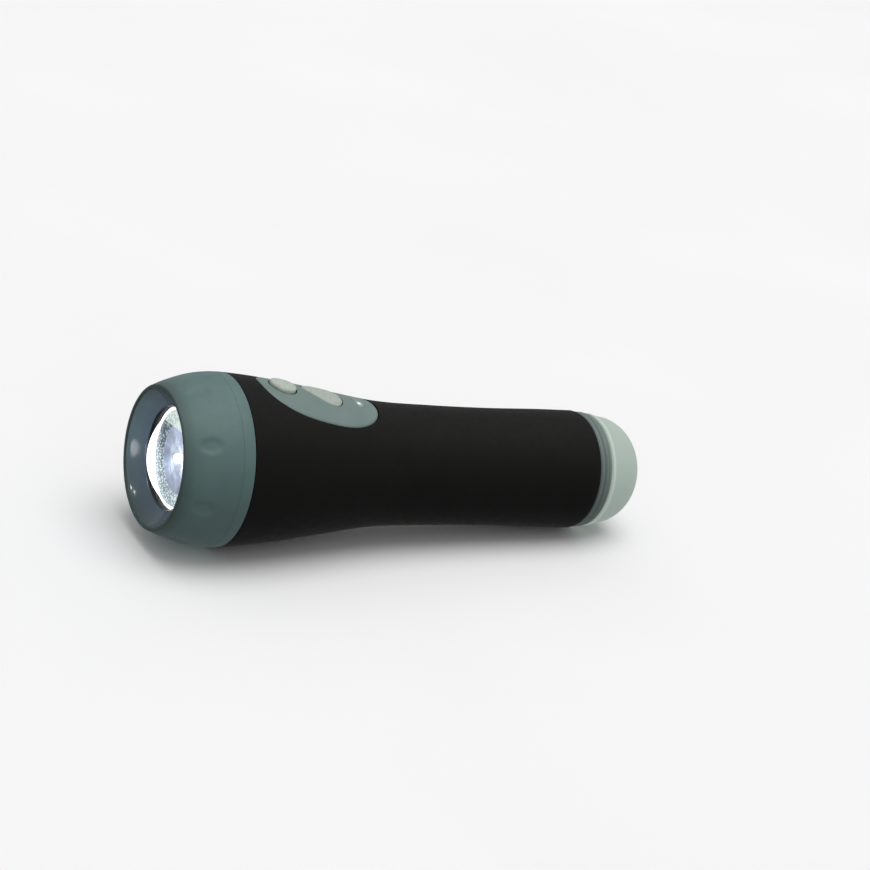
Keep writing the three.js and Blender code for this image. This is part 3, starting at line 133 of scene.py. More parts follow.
GLOW_BEVEL = 0.1 * MM
GLOW_WALL = 0.9 * MM
GLOW_SKIN = 0.02 * MM
FACE_START = 0.25 * MM
FACE_SAG = 0.55 * MM
FACE_END = 1.3 * MM
FACE_GAP = 0.1 * MM
CUP_DEPTH = 8.0 * MM
CUP_WALL = 1.0 * MM
CUP_FLARE = 1.5 * MM
CONE_RADIUS = 12.1 * MM
CONE_PLACE = 9.3 * MM
CONE_GAP = 0.2 * MM
CONE_DEPTH = 7.0 * MM
FACETS = 14
# The cone's face from its edge inwards: depth, share of the radius and turn in facets
CONE_RINGS = ((0.1 * MM, 1.0, 0.0), (0.9 * MM, 0.7, 0.5), (0.2 * MM, 0.42, 0.0), (0.9 * MM, 0.2, 0.5))
LAMP_RADIUS = 1.6 * MM
LAMP_REACH = 1.9 * MM
LAMP_SEAT = 0.2 * MM
LAMP_STEPS = 12
# Painted reflection of the lamp: the level above which the cup and cone turn bright, and how far it fades below
# and above
LAMP_REFLECTION_HEIGHT = 7.4 * MM
LAMP_REFLECTION_FADE = (0.4 * MM, 0.3 * MM)

# Grip
GRIP_END = 162.6 * MM
WAIST_RADIUS = 20.65 * MM
TAIL_RADIUS = 21.05 * MM
SLEEVE_WALL = 1.6 * MM
SLEEVE_STEPS = 150
SLEEVE_INNER_STEPS = 30
SLEEVE_FRONT_DROP = 0.15 * MM
SLEEVE_REAR_DROP = 0.3 * MM
GRIP_STATION_SHARES = (0, 0.072, 0.166, 0.27, 0.416, 0.582, 0.748, 0.894, 1)
GRIP_HEAD_SHARES = (1, 0.905, 0.716, 0.454, 0.111, 0.017, 0, 0, 0)
GRIP_TAIL_SHARES = (0, 0, 0, 0, 0, 0, 0, 0.9, 1)

# Control panel; an oval has a place, a half length, a half width and a power
PANEL_OVAL = (54.35 * MM, 22.15 * MM, 14.2 * MM, 2.5)
PANEL_GAP = 0.35 * MM
PANEL_EDGE_DROP = 0.35 * MM
PANEL_EDGE_START = 0.965
PANEL_RINGS = 30
POWER_OVAL = (40.6 * MM, 4.6 * MM, 4.7 * MM, 2)
POWER_GAP = 0.5 * MM
POWER_RISE = 1.5 * MM
POWER_EDGE_SHARE = 0.8
POWER_DEPTH = 1.5 * MM
MODE_PLACE = 55.9 * MM
MODE_LENGTH = 14.0 * MM
MODE_HALF_WIDTH = 6.6 * MM
MODE_RISE = 0.42 * MM
MODE_EDGE_SHARE = 0.9
MODE_LEAN = 2.5 * MM
MODE_DEPTH = 0.9 * MM
MODE_GAP = 0.35 * MM
EGG_STATION_SHARES = (0, 0.06, 0.2, 0.4, 0.6, 0.78, 0.92, 0.985, 1)
EGG_WIDTH_SHARES = (0, 0.28, 0.6, 0.9, 1, 0.93, 0.64, 0.28, 0)
INDICATOR_PLACE = 70.0 * MM
INDICATOR_OVAL = (INDICATOR_PLACE, 2.0 * MM, 4.0 * MM, 2.2)
INDICATOR_RISE = 0.2 * MM
INDICATOR_EDGE_RISE = 0.12 * MM
INDICATOR_ROLL = 0.3 * MM
INDICATOR_DEPTH = 1.2 * MM
INDICATOR_GAP = 0.04 * MM
# A painted glint on the indicator window: its place, its side and its radius
GLINT_PLACE = 69.6 * MM
GLINT_SIDE = -1.9 * MM
GLINT_RADIUS = 2.0 * MM
BUTTON_ROLL = 0.4 * MM
SHOULDER_START = 0.88
SHOULDER_POWER = 2.2
PATCH_RINGS = 14
PATCH_POWER = 1.8
WELL_SPAN = (10 * MM, 40 * MM)

# Tail
COLLAR_START = 162.9 * MM
SPIGOT_START = 158.3 * MM
SPIGOT_RADIUS = 19.15 * MM
WEB_REAR = 161.9 * MM
WEB_BORE = 4.7 * MM
COLLAR_BORE = 17.7 * MM
DOME_BASE = 167.9 * MM
COLLAR_RADIUS = 20.5 * MM
COLLAR_TAPER = 0.2 * MM
COLLAR_GAP = 0.15 * MM
COLLAR_STEPS = 64
# The band's corners: how far each point stays in from the band's end and from its outside
COLLAR_FRONT_CORNER = ((0.0, 0.25 * MM), (0.08 * MM, 0.05 * MM))
COLLAR_REAR_CORNER = ((0.05 * MM, 0.08 * MM), (0.0, 0.3 * MM))
RIDGE_RISE = 0.25 * MM
RIDGE_HALF_WIDTH = 0.42 * MM
RIDGE_PLACES = (164.05 * MM, 166.0 * MM)
DOME_RADIUS = 19.9 * MM
DOME_HEIGHT = 19.1 * MM
DOME_POWER = 2.43
DOME_GAP = 0.25 * MM
DOME_CORNER = ((0.0, 0.3 * MM), (0.12 * MM, 0.05 * MM))
DOME_CORNER_END = 0.2 * MM
DOME_STEPS = 96
DOME_BEVEL = 0.3 * MM
BEAD_RISE = 0.35 * MM
BEAD_WIDTH = 1.9 * MM
BEAD_FRONT_SLOPE = 5
BEAD_REAR_SLOPE = 4
SLOT_HALF = 5.3 * MM
SLOT_FLOOR = 3.2 * MM
MOUTH_START = 1.5 * MM
ARM_HALF = 5.0 * MM
ARM_WALL = 4.0 * MM
ARM_GAP = 0.3 * MM
ARM_BEVEL = 0.35 * MM
CORE_OVERRUN = 1 * MM
BOSS_LENGTH = 3.2 * MM
HINGE_HEIGHT = 11.3 * MM
HINGE_OFFSET = 11.7 * MM
KNUCKLE_RADIUS = 3.2 * MM
KNOB_OFFSET = 11.5 * MM
KNOB_RADIUS = 4.8 * MM
KNOB_LENGTH = 12.0 * MM
KNOB_GAP = 0.6 * MM
KNOB_ROUND = 0.8 * MM
KNOB_BORE = 1.8 * MM
KNOB_RECESS_RADIUS = 2.8 * MM
KNOB_RECESS_DEPTH = 1.5 * MM
KNOB_STEPS = 60
KNOB_GROOVES = 3
GROOVE_DEPTH = 0.35 * MM
GROOVE_HALF_SHARE = 0.05
PIN_RADIUS = 1.2 * MM
PIN_OVERHANG = 1.9 * MM
POCKET_INNER = -6.4 * MM
POCKET_OUTER = -17.8 * MM

# Stage
FLOOR_HALF = 6.0
FLOOR_TOP = -0.2 * MM
FLOOR_BOTTOM = -20 * MM
SKY_LEVELS = (-0.5, 0.7)
SKY_STRENGTHS = (0.31, 0.56)
SUN_DIRECTION = Vector((0.12, -0.1, 1.0))
SUN_ANGLE = math.radians(50)
SUN_STRENGTH = 1.35

# Small lights that show only in the glossy funnel: place, radius and power
ACCENTS = (
    ((-0.327, -0.061, 0.027), 0.036, 0.068),
    ((-0.459, 0.023, 0.353), 0.008, 0.12),
    ((-0.474, 0.117, 0.317), 0.006, 0.06),
)

# Materials: scales of their patterns from coarse to fine, then reliefs and shares
FLOOR_SCALE = 6
MOTTLE_SCALE = 90
WALL_SCALE = 140
SMEAR_SCALE = 160
INDICATOR_SCALE = 200
CONE_SCALE = 220
CUP_SCALE = 260
TIP_SCALE = 300
CREASE_SCALE = 300
SHEEN_SCALE = 400
MARK_SCALE = 700
PEBBLE_SCALE = 1500
GRAIN_SCALE = 2600
SMOOTH_GRAIN = 0.01 * MM
PLAIN_GRAIN = 0.03 * MM
COARSE_GRAIN = 0.06 * MM
CREASE_RELIEF = 0.1 * MM
PEBBLE_RELIEF = 0.3 * MM
SHEEN_WEAR = 0.05
# Painted light: the cup's face turns paler towards its bottom between these heights, up to this share
PAINTED_LIGHT_FADE = (-0.75 * GLOW_BACK_RADIUS, -0.1 * GLOW_BACK_RADIUS)
PAINTED_LIGHT_SHARE = 0.75
# The cone's painted rays of light: turn from up (0) to down (1), and brightness
RAY_LEVELS = (
    (0, 0.7), (0.3, 1.1), (0.36, 0.62), (0.5, 1), (0.58, 0.6), (0.7, 1.5), (0.82, 1.3), (0.86, 0.7),
)
# Half width of the painted highlight along each tail ridge, as a share of the band
RIDGE_HIGHLIGHT_SHARE = 0.13
# The dome's base colour is its colour dimmed to this share, as the painted glow lightens it
DOME_SHADE = 0.65

# The torch's axes, and those of the crank in its slot, as matrices of the frame
JOINTS = {joint["name"]: joint for joint in frame["joints"]}
AXIS = Vector(JOINTS["crank_spin"]["axis"]).normalized()
UP = -Vector(JOINTS["power_press"]["axis"]).normalized()
RIM_MOUNT = Vector(frame["record"]["mounts"][0]["pos_m"])
RIM_CENTRE = Vector((RIM_MOUNT.x, 0, RIM_MOUNT.z))


def axes_matrix(x_axis, y_axis, z_axis, origin):
    matrix = Matrix((x_axis, y_axis, z_axis)).transposed().to_4x4()
    matrix.translation = origin
    return matrix


TORCH = axes_matrix(AXIS, UP.cross(AXIS), UP, RIM_CENTRE)
CRANK_SIDE = -Vector(JOINTS["arm_fold"]["axis"]).normalized()
CRANK = axes_matrix(AXIS, CRANK_SIDE, AXIS.cross(CRANK_SIDE), RIM_CENTRE)


# Curves

def share_at(stations, shares, place):
    """Reads a smooth curve through a table of shares."""
    last = len(stations) - 1
    place = min(max(place, stations[0]), stations[last])
    i = 0
    while i < last - 1 and place > stations[i + 1]:
        i += 1

    def slope(k):
        before, after = max(k - 1, 0), min(k + 1, last)
        return (shares[after] - shares[before]) / (stations[after] - stations[before])

    width = stations[i + 1] - stations[i]
    u = (place - stations[i]) / width
    start = shares[i] * (1 + 2 * u) * (1 - u) ** 2 + slope(i) * width * u * (1 - u) ** 2
    end = shares[i + 1] * u * u * (3 - 2 * u) + slope(i + 1) * width * u * u * (u - 1)
    return start + end


def head_radius(x):
    before = max(HEAD_PEAK - x, 0) / (HEAD_PEAK - RIM_ROUND)
    return HEAD_RADIUS - HEAD_DROP * before**HEAD_POWER


def grip_radius(x):
    place = (x - SEAM) / (GRIP_END - SEAM)
    head = share_at(GRIP_STATION_SHARES, GRIP_HEAD_SHARES, place)
    tail = share_at(GRIP_STATION_SHARES, GRIP_TAIL_SHARES, place)
    return WAIST_RADIUS + head * (HEAD_RADIUS - WAIST_RADIUS) + tail * (TAIL_RADIUS - WAIST_RADIUS)


def dome_profile(inset=0.0):
    """Points from the dome's base edge to its tip."""
    points = []
    for k in range(DOME_STEPS + 1):
        angle = k / DOME_STEPS * math.pi / 2
        along = (DOME_HEIGHT - inset) * math.sin(angle) ** (2 / DOME_POWER)
        out = (DOME_RADIUS - inset) * max(math.cos(angle), 0) ** (2 / DOME_POWER)
        points.append((DOME_BASE + along, 0.0 if k == DOME_STEPS else out))
    return points


def stepped(start, end, steps, radius_at):
    places = [start + k / steps * (end - start) for k in range(steps + 1)]
    return [(x, radius_at(x)) for x in places]


# Meshes

def mesh_of(name, vertices, faces, smooth=True):
    mesh = bpy.data.meshes.new(name)
    mesh.from_pydata([tuple(v) for v in vertices], [], faces)
    edit = bmesh.new()
    edit.from_mesh(mesh)
    bmesh.ops.remove_doubles(edit, verts=edit.verts, dist=WELD_DISTANCE)
    bmesh.ops.recalc_face_normals(edit, faces=edit.faces)
    edit.to_mesh(mesh)
    edit.free()
    for polygon in mesh.polygons:
        polygon.use_smooth = smooth
    return mesh


def turned(name, outline, segments, shift=None):
    """Turns a closed outline of (x, r) points about x; shift(x, angle, r) moves a point along its radius."""
    vertices, faces = [], []
    count = len(outline)
    for s in range(segments):
        angle = s / segments * 2 * math.pi
        for x, r in outline:
            moved = r + (shift(x, angle, r) if shift else 0)
            vertices.append((x, -moved * math.sin(angle), moved * math.cos(angle)))
    for s in range(segments):
        here, there = s * count, (s + 1) % segments * count
        for i in range(count):
            j = (i + 1) % count
            if outline[i][1] == 0 and outline[j][1] == 0:
                continue
            faces.append((here + i, here + j, there + j, there + i))
    return mesh_of(name, vertices, faces)


def box_mesh(name, x0, x1, y0, y1, z0, z1):
    vertices = [(x, y, z) for x in (x0, x1) for y in (y0, y1) for z in (z0, z1)]
    faces = [(0, 1, 3, 2), (4, 6, 7, 5), (0, 4, 5, 1), (2, 3, 7, 6), (0, 2, 6, 4), (1, 5, 7, 3)]
    return mesh_of(name, vertices, faces, smooth=False)


def prism_mesh(name, vertices):
    """Joins two rings of as many points each."""
    count = len(vertices) // 2
    faces = [tuple(range(count)), tuple(range(2 * count - 1, count - 1, -1))]
    faces += [(i, (i + 1) % count, count + (i + 1) % count, count + i) for i in range(count)]
    return mesh_of(name, vertices, faces, smooth=False)


def well_mesh(outline):
    """A cutting tool: an outline of (x, y) points, raised through the panel."""
    return prism_mesh("well", [(x, y, z) for z in WELL_SPAN for x, y in outline])


def cross_rod_mesh(name, x, z, radius, half):
    """A rod along y."""
    turns = [k / SMALL_SEGMENTS * 2 * math.pi for k in range(SMALL_SEGMENTS)]
    ring = [(x + radius * math.cos(turn), z + radius * math.sin(turn)) for turn in turns]
    return prism_mesh(name, [(px, side * half, pz) for side in (-1, 1) for px, pz in ring])


def combined(base, steps, bevel=0.0):
    """Applies boolean steps, each (operation, mesh), to a mesh, then rounds its sharp edges."""
    name = base.name
    base.name = name + "_work"
    holder = bpy.data.objects.new(name + "_work", base)
    bpy.context.scene.collection.objects.link(holder)
    helpers = []
    for operation, mesh in steps:
        helper = bpy.data.objects.new(name + "_tool", mesh)
        bpy.context.scene.collection.objects.link(helper)
        helper.hide_render = True
        helpers.append(helper)
        modifier = holder.modifiers.new("cut", "BOOLEAN")
        modifier.operation = operation
        modifier.solver = "EXACT"
        modifier.object = helper
    if bevel:
        weld = holder.modifiers.new("weld", "WELD")
        weld.merge_threshold = BEVEL_WELD
        rounding = holder.modifiers.new("round", "BEVEL")
        rounding.width = bevel
        rounding.segments = BEVEL_STEPS
        rounding.limit_method = "ANGLE"
        rounding.angle_limit = math.radians(SHARP_ANGLE)
        rounding.use_clamp_overlap = True
    bpy.context.view_layer.update()
    evaluated = holder.evaluated_get(bpy.context.evaluated_depsgraph_get())
    made = bpy.data.meshes.new_from_object(evaluated)
    made.name = name
    edit = bmesh.new()
    edit.from_mesh(made)
    bmesh.ops.dissolve_degenerate(edit, dist=SPECK, edges=edit.edges)
    edit.to_mesh(made)
    edit.free()
    for extra in [holder, *helpers]:
        bpy.data.objects.remove(extra)
    for polygon in made.polygons:
        polygon.use_smooth = True
    made.set_sharp_from_angle(angle=math.radians(SHARP_ANGLE))
    return made


def piece(mesh, slot, body, replaces=(), place=TORCH, material=None):
    """Adds a mesh as a piece of the torch, which rides on a body and may stand for CAD nodes."""
    mesh.transform(place)
    mesh.materials.clear()
    mesh.materials.append(material or MATERIALS[slot])
    made = bpy.data.objects.new(mesh.name, mesh)
    bpy.context.scene.collection.objects.link(made)
    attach(made, body)
    if replaces:
        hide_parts(*replaces)


# Materials

def linear(red, green, blue):
    """A colour of the photograph, 0 to 255, as a linear colour."""
    channels = []
    for value in (red, green, blue):
        share = value / 255
        channels.append(share / 12.92 if share <= 0.04045 else ((share + 0.055) / 1.055) ** 2.4)
    return (*channels, 1.0)


def grey(value):
    return (value, value, value, 1.0)


class Recipe:
    """A material's node tree, with short ways to add what the materials share."""

    def __init__(self, name, **values):
        self.material = bpy.data.materials.new(name)
        self.material.use_nodes = True
        self.nodes = self.material.node_tree.nodes
        self.links = self.material.node_tree.links
        self.shader = self.nodes["Principled BSDF"]
        self.place = self.nodes.new("ShaderNodeTexCoord").outputs["Object"]
        for key, value in values.items():
            self.shader.inputs[key.replace("_", " ")].default_value = value

    def noise(self, scale, detail=3.0, roughness=0.5):
        node = self.nodes.new("ShaderNodeTexNoise")
        node.inputs["Scale"].default_value = scale
        node.inputs["Detail"].default_value = detail
        node.inputs["Roughness"].default_value = roughness
        self.links.new(self.place, node.inputs["Vector"])
        return node.outputs["Fac"]

    def cells(self, scale):
        node = self.nodes.new("ShaderNodeTexVoronoi")
        node.inputs["Scale"].default_value = scale
        self.links.new(self.place, node.inputs["Vector"])
        return node.outputs["Distance"]

    def ramp(self, factor, *stops):
        node = self.nodes.new("ShaderNodeValToRGB")
        elements = node.color_ramp.elements
        while len(elements) < len(stops):
            elements.new(0.5)
        for element, (position, color) in zip(elements, stops):
            element.position = position
            element.color = color
        self.links.new(factor, node.inputs["Fac"])
        return node.outputs["Color"]

    def tones(self, factor, *stops):
        """A ramp of colours, each as its place and the photograph's red, green and blue."""
        return self.ramp(factor, *((place, linear(*color)) for place, *color in stops))

    def levels(self, factor, *stops):
        """A ramp of greys."""
        return self.ramp(factor, *((place, grey(value)) for place, value in stops))

    def span(self, factor, start, end, low=0.0, high=1.0):
        """Maps what lies between start and end to low and high."""
        node = self.nodes.new("ShaderNodeMapRange")
        node.inputs["From Min"].default_value = start
        node.inputs["From Max"].default_value = end
        node.inputs["To Min"].default_value = low
        node.inputs["To Max"].default_value = high
        self.links.new(factor, node.inputs["Value"])
        return node.outputs["Result"]

    def mix(self, share, first, second):
        """Blends two colours; with no share it multiplies them."""
        node = self.nodes.new("ShaderNodeMix")
        node.data_type = "RGBA"
        if share is not None:
            self.links.new(share, node.inputs[0])
        else:
            node.blend_type = "MULTIPLY"
            node.inputs[0].default_value = 1.0
        self.links.new(first, node.inputs[6])
        self.links.new(second, node.inputs[7])
        return node.outputs[2]

    def vector(self, operation, first, second=(0, 0, 0), output="Vector"):
        """A vector sum; first is an output and second a constant."""
        node = self.nodes.new("ShaderNodeVectorMath")
        node.operation = operation
        node.inputs[1].default_value = second
        self.links.new(first, node.inputs[0])
        return node.outputs[output]

    def feed(self, socket, output):
        self.links.new(output, self.shader.inputs[socket])

    def mottled(self, color, spread):
        mottle = self.noise(MOTTLE_SCALE, 4, 0.6)
        return self.ramp(mottle, (0.3, tinted(color, 1 - spread)), (0.7, tinted(color, 1 + spread)))

    def sheen(self, roughness):
        """A roughness that varies over the surface."""
        mottle = self.noise(SHEEN_SCALE)
        self.feed("Roughness", self.span(mottle, 0.3, 0.7, roughness - SHEEN_WEAR, roughness + SHEEN_WEAR))

    def bump(self, height, distance, strength):
        node = self.nodes.new("ShaderNodeBump")
        node.inputs["Distance"].default_value = distance
        node.inputs["Strength"].default_value = strength
        self.links.new(height, node.inputs["Height"])
        self.links.new(node.outputs["Normal"], self.shader.inputs["Normal"])


def tinted(color, factor):
    return (*(min(channel * factor, 1.0) for channel in color[:3]), 1.0)


def moulded(name, color, roughness, grain=PLAIN_GRAIN, spread=0.06, **values):
    """Moulded rubber or plastic: slight mottling, fine grain and a roughness that varies."""
    recipe = Recipe(name, **values)
    recipe.feed("Base Color", recipe.mottled(color, spread))
    recipe.sheen(roughness)
    recipe.bump(recipe.noise(GRAIN_SCALE, 2), grain, 0.5)
    return recipe.material


def wrinkled(name, color):
    """Button rubber with fine creases in its skin."""
    recipe = Recipe(name)
    creases = recipe.noise(CREASE_SCALE, 2, 0.6)
    recipe.feed(
        "Base Color",
        recipe.ramp(
            creases,
            (0.3, tinted(color, 0.96)),
            (0.47, tinted(color, 1.02)),
            (0.5, tinted(color, 0.76)),
            (0.53, tinted(color, 1.02)),
            (0.7, tinted(color, 0.97)),
        ),
    )
    recipe.feed("Roughness", recipe.span(creases, 0.3, 0.7, 0.5, 0.62))
    recipe.bump(creases, CREASE_RELIEF, 0.4)
    return recipe.material


def metal(name, color, roughness, brushed=1.0):
    """Plain metal with fine marks."""
    recipe = Recipe(name, Metallic=1.0)
    marks = recipe.noise(MARK_SCALE * brushed, 5, 0.7)
    recipe.feed("Base Color", recipe.ramp(marks, (0.35, tinted(color, 0.88)), (0.65, tinted(color, 1.08))))
    recipe.feed("Roughness", recipe.span(marks, 0.3, 0.7, roughness - 0.06, roughness + 0.1))
    recipe.bump(marks, SMOOTH_GRAIN, 0.4)
    return recipe.material


def clear(name, color, **values):
    """Clear plastic with faint smears."""
    recipe = Recipe(name, Transmission_Weight=1.0, **values)
    smears = recipe.noise(SMEAR_SCALE)
    recipe.feed("Base Color", recipe.ramp(smears, (0.2, tinted(color, 0.97)), (0.8, color)))
    recipe.feed("Roughness", recipe.span(smears, 0.4, 0.8, 0.02, 0.04))
    return recipe.material


def axis_offset(recipe):
    """A point's offset from the centre of the front rim."""
    return recipe.vector("SUBTRACT", recipe.place, RIM_CENTRE)


def reach_along(recipe, direction):
    """How far a point lies from the rim's centre in a direction, in metres."""
    return recipe.vector("DOT_PRODUCT", axis_offset(recipe), direction, "Value")


def axis_distance(recipe):
    """Distance of a point from the torch's axis, in metres."""
    across = recipe.vector("CROSS_PRODUCT", axis_offset(recipe), AXIS)
    return recipe.vector("LENGTH", across, output="Value")


def axis_turn(recipe):
    """Turn of a point about the torch's axis, from up (0) to down (1), the same on both sides."""
    turn = recipe.nodes.new("ShaderNodeMath")
    turn.operation = "ARCTAN2"
    sideways = recipe.nodes.new("ShaderNodeMath")
    sideways.operation = "ABSOLUTE"
    recipe.links.new(reach_along(recipe, UP.cross(AXIS)), sideways.inputs[0])
    recipe.links.new(sideways.outputs["Value"], turn.inputs[0])
    recipe.links.new(reach_along(recipe, UP), turn.inputs[1])
    return recipe.span(turn.outputs["Value"], 0.0, math.pi)


def glowing_ring(name):
    """The mirrored wall around the cup, flooded by the lamp."""
    recipe = Recipe(name, Roughness=0.25, Emission_Strength=1.4, Emission_Color=grey(1.0))
    mottle = recipe.noise(WALL_SCALE, 2)
    recipe.feed("Base Color", recipe.tones(mottle, (0.3, 225, 230, 235), (0.7, 250, 250, 250)))
    return recipe.material


def lit_above(recipe, shades, bright):
    """A painted reflection of the lamp on the upper part of the cup and cone: above a level its colour is bright.
    """
    below, above = LAMP_REFLECTION_FADE
    share = recipe.span(reach_along(recipe, UP), LAMP_REFLECTION_HEIGHT - below, LAMP_REFLECTION_HEIGHT + above)
    return recipe.mix(share, shades, bright)


def speckled(name):
    """The cup's pebbled face: small bright lenses with dark edges, glowing with painted light from the lamp that
    is painted brighter and paler towards the bottom, and a painted reflection of the lamp at the top.
    """
    recipe = Recipe(name, Metallic=0.3, Roughness=0.3, Emission_Strength=0.8)
    cells = recipe.cells(PEBBLE_SCALE)
    shades = recipe.tones(
        cells,
        (0.0, 214, 224, 230),
        (0.22, 160, 174, 184),
        (0.42, 112, 126, 138),
        (0.62, 66, 76, 86),
    )
    bright = recipe.tones(cells, (0.1, 244, 250, 244), (0.7, 196, 212, 202))
    patches = recipe.levels(recipe.noise(CUP_SCALE, 3, 0.6), (0.36, 0.65), (0.6, 1.0), (0.72, 2.4))
    # Painted light and shade by height: the face is painted much brighter towards its bottom than at its top
    level = recipe.span(reach_along(recipe, UP), -GLOW_BACK_RADIUS, LAMP_REFLECTION_HEIGHT)
    depth = recipe.levels(level, (0.0, 4.5), (0.4, 2.6), (0.6, 1.3), (0.75, 0.85), (1.0, 0.8))
    shaded = recipe.mix(None, recipe.mix(None, shades, patches), depth)
    # Painted light: paler tones blended in towards the bottom
    painted_light_pale = recipe.tones(cells, (0.05, 238, 246, 244), (0.4, 190, 204, 202), (0.7, 158, 172, 172))
    low = recipe.span(reach_along(recipe, UP), *PAINTED_LIGHT_FADE, PAINTED_LIGHT_SHARE, 0.0)
    # Painted reflection of the lamp above a level
    color = lit_above(recipe, recipe.mix(low, shaded, painted_light_pale), bright)
    recipe.feed("Base Color", shades)
    recipe.feed("Emission Color", color)
    recipe.bump(cells, PEBBLE_RELIEF, 0.8)
    return recipe.material


def lamp_cone(name):
    """The light cone's face, glowing with painted light from the lamp: bright at its middle, with painted rays,
    and grey blue towards its edge.
    """
    recipe = Recipe(name, Roughness=0.12, Emission_Strength=1.0)
    share = recipe.span(axis_distance(recipe), 0.0, CONE_RADIUS)
    glow = recipe.tones(
        share,
        (0.0, 255, 255, 255),
        (0.22, 240, 244, 255),
        (0.36, 196, 206, 228),
        (0.72, 168, 180, 206),
        (0.95, 150, 162, 184),
        (1.0, 214, 222, 232),
    )
    # Painted rays of light, by turn about the axis
    rays = recipe.levels(axis_turn(recipe), *RAY_LEVELS)
    grain = recipe.levels(recipe.noise(MARK_SCALE, 3, 0.7), (0.35, 0.72), (0.65, 1.15))
    color = recipe.mix(None, recipe.mix(None, glow, rays), grain)
    # Painted reflection of the lamp above a level
    bright = recipe.tones(recipe.cells(PEBBLE_SCALE), (0.1, 244, 250, 244), (0.7, 206, 220, 210))
    recipe.feed("Emission Color", lit_above(recipe, color, bright))
    mottle = recipe.noise(CONE_SCALE)
    recipe.feed("Base Color", recipe.tones(mottle, (0.3, 60, 66, 84), (0.7, 96, 104, 128)))
    return recipe.material


def lamp_white(name):
    """The lit tip over the emitter."""
    recipe = Recipe(name, Roughness=0.2, Emission_Strength=6.0, Emission_Color=grey(1.0))
    mottle = recipe.noise(TIP_SCALE)
    recipe.feed("Base Color", recipe.tones(mottle, (0.3, 240, 240, 236), (0.7, 252, 252, 250)))
    return recipe.material


def boot_rubber(name):
    """The boot's rubber, with painted shade that darkens it towards its front rim."""
    recipe = Recipe(name, Specular_IOR_Level=0.45)
    shades = recipe.mottled(linear(91, 118, 116), 0.06)
    # Painted shade: the rubber's colour is darkened towards the front rim
    share = recipe.span(reach_along(recipe, AXIS), 0.0, HEAD_PEAK)
    rim = recipe.levels(share, (0.0, 0.4), (0.04, 0.62), (0.2, 0.92), (0.4, 1.0))
    recipe.feed("Base Color", recipe.mix(None, shades, rim))
    recipe.sheen(0.55)
    recipe.bump(recipe.noise(GRAIN_SCALE, 2), PLAIN_GRAIN, 0.5)
    return recipe.material


def funnel(name):
    """The glossy funnel: bluer towards the window than at the rim, with painted shade at its top and bottom and
    painted light through its middle.
    """
    recipe = Recipe(name, Roughness=0.14)
    share = recipe.span(axis_distance(recipe), FUNNEL_BACK_RADIUS, FUNNEL_FRONT_RADIUS)
    shades = recipe.tones(share, (0.0, 86, 104, 122), (0.55, 92, 112, 124), (0.95, 92, 114, 120))
    # Painted light and shade by height: darker at the top and bottom, lighter through the middle
    level = recipe.span(reach_along(recipe, UP), -FUNNEL_FRONT_RADIUS, FUNNEL_FRONT_RADIUS)
    depth = recipe.levels(level, (0.0, 0.5), (0.2, 1.1), (0.5, 1.8), (0.75, 1.65), (1.0, 0.45))
    recipe.feed("Base Color", recipe.mix(None, shades, depth))
    return recipe.material


def indicator_window(name):
    """The glossy indicator window with a painted glint, a small glow off its middle."""
    recipe = Recipe(name, Roughness=0.1, Emission_Strength=1.0)
    # Painted glint: the window glows in a small patch off its middle
    painted_glint = TORCH @ Vector((GLINT_PLACE, GLINT_SIDE, grip_radius(INDICATOR_PLACE)))
    share = recipe.span(recipe.vector("DISTANCE", recipe.place, painted_glint, "Value"), 0.0, GLINT_RADIUS)
    recipe.feed("Emission Color", recipe.levels(share, (0.2, 1.0), (0.42, 0.1), (1.0, 0.0)))
    mottle = recipe.noise(INDICATOR_SCALE)
    recipe.feed("Base Color", recipe.tones(mottle, (0.3, 118, 136, 132), (0.7, 130, 148, 144)))
    return recipe.material


def banded(name):
    """The tail band, with painted highlights along its two ridges, and lighter towards its rear end."""
    recipe = Recipe(name)
    share = recipe.span(reach_along(recipe, AXIS), COLLAR_START, DOME_BASE)
    # Painted highlights: lighter stripes along each ridge
    stops = [(0.0, 88, 100, 98)]
    for place in RIDGE_PLACES:
        middle = (place - COLLAR_START) / (DOME_BASE - COLLAR_START)
        before, after = middle - RIDGE_HIGHLIGHT_SHARE, middle + RIDGE_HIGHLIGHT_SHARE
        stops += [(before, 92, 106, 106), (middle, 124, 140, 132), (after, 92, 106, 106)]
    recipe.feed("Base Color", recipe.tones(share, *stops, (0.8, 118, 133, 124)))
    recipe.sheen(0.31)
    return recipe.material


def frosted(name):
    """The dome's milky plastic, with a painted glow that lightens it and flattens its shading, and a painted
    highlight that makes its lip lighter than its body.
    """
    # Painted glow: the emission lightens the dome and flattens its shading
    recipe = Recipe(name, Emission_Strength=0.45)
    share = recipe.span(reach_along(recipe, AXIS), DOME_BASE, DOME_BASE + 2 * BEAD_WIDTH)
    body = linear(168, 183, 174)
    # Painted highlight: the lip's colours are lighter than the body's
    stops = [
        (0.0, linear(176, 190, 180)),
        (0.38, linear(190, 204, 194)),
        (0.5, tinted(body, 0.97)),
        (0.62, body),
    ]
    shaded = [(place, tinted(color, DOME_SHADE)) for place, color in stops]
    recipe.feed("Base Color", recipe.ramp(share, *shaded))
    recipe.feed("Emission Color", recipe.ramp(share, *stops))
    recipe.sheen(0.33)
    return recipe.material


def floor_material():
    recipe = Recipe("floor_pale", Roughness=0.9, Specular_IOR_Level=0.0)
    mottle = recipe.noise(FLOOR_SCALE)
    recipe.feed("Base Color", recipe.tones(mottle, (0.3, 250, 250, 250), (0.7, 253, 253, 253)))
    return recipe.material


